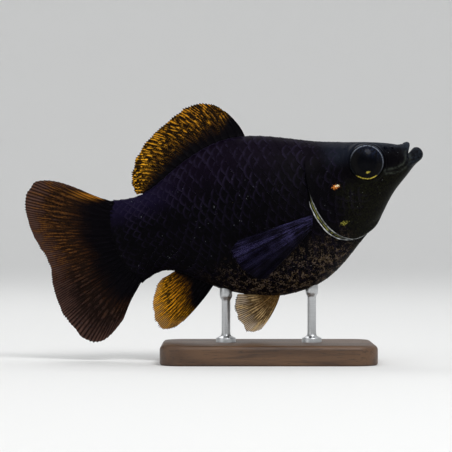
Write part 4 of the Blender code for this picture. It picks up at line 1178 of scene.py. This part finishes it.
# Floor and backdrop: a plain pale floor that curves up into a low wall far away on every side, as a
# photographer's paper does.
FLOOR_FLAT, WALL_BEND, WALL_HIGH, STAGE_SIDES, BEND_STEPS = 1.4, 1.0, 1.8, 96, 12
FLOOR_PALE = (0.80, 0.80, 0.79)
profile = [(0.02, 0.0), (0.3, 0.0), (FLOOR_FLAT, 0.0)]
for i in range(1, BEND_STEPS + 1):
    angle = math.pi / 2 * i / BEND_STEPS
    profile.append((FLOOR_FLAT + WALL_BEND * math.sin(angle), WALL_BEND * (1 - math.cos(angle))))
profile.append((FLOOR_FLAT + WALL_BEND, WALL_HIGH))
faces = [face[::-1] for face in grid_faces(len(profile), STAGE_SIDES, closed=True)]
faces.append(list(range(STAGE_SIDES)))
floor = new_mesh("floor", turned(profile, STAGE_SIDES), faces)
sheet = Sheet("pale floor")
sheet.surface(base_color=FLOOR_PALE, roughness=0.9, specular_ior_level=0.1)
floor.data.materials.append(sheet.material)

# Light: a large soft panel above and in front, a weaker one to the left, and a rim light behind. A
# pale, even world fills in the rest.
AIM = Vector((0.0, 0.0, 0.034))
WORLD_COLOUR, WORLD_STRENGTH = (0.97, 0.98, 1.0, 1), 0.85
# each light's name, its place, its width in metres and its watts
LIGHTS = (
    ("key", (0.22, -0.42, 0.60), 0.30, 2.2),
    ("fill", (-0.60, -0.45, 0.22), 0.50, 0.3),
    ("back", (-0.15, 0.42, 0.60), 0.40, 0.8),
)
for name, place, size, power in LIGHTS:
    light = bpy.data.lights.new(name, "AREA")
    light.shape = "DISK"
    light.size = size
    light.energy = power
    lamp = bpy.data.objects.new(name, light)
    lamp.location = place
    lamp.visible_camera = False
    lamp.rotation_euler = (AIM - Vector(place)).to_track_quat("-Z", "Y").to_euler()
    bpy.context.scene.collection.objects.link(lamp)
world = bpy.data.worlds.new("studio")
world.use_nodes = True
sky = world.node_tree.nodes["Background"]
sky.inputs["Color"].default_value = WORLD_COLOUR
sky.inputs["Strength"].default_value = WORLD_STRENGTH
bpy.context.scene.world = world
bpy.context.scene.view_settings.view_transform = "Standard"

# Camera: level, from the fish's right side, far enough away to flatten the view as in the photo, and
# framed so that each pixel is as large as one of the photo's.
PHOTO_PIXEL = 0.000253
PHOTO_SIZE = 452
# the pixel of the photo where the part's middle and its floor lie
MIDDLE_PIXEL_X, FLOOR_PIXEL_Y = 222.4, 362
CAMERA_AWAY, SENSOR_WIDE = 0.60, 36
camera_x = (PHOTO_SIZE / 2 - MIDDLE_PIXEL_X) * PHOTO_PIXEL
camera_z = (FLOOR_PIXEL_Y - PHOTO_SIZE / 2) * PHOTO_PIXEL
lens = bpy.data.cameras.new("camera")
lens.sensor_width = SENSOR_WIDE
lens.lens = SENSOR_WIDE * CAMERA_AWAY / (PHOTO_SIZE * PHOTO_PIXEL)
lens.clip_start = 0.01
camera = bpy.data.objects.new("camera", lens)
camera.location = (camera_x, -CAMERA_AWAY, camera_z)
camera.rotation_euler = (math.pi / 2, 0, 0)
bpy.context.scene.collection.objects.link(camera)
bpy.context.scene.camera = camera
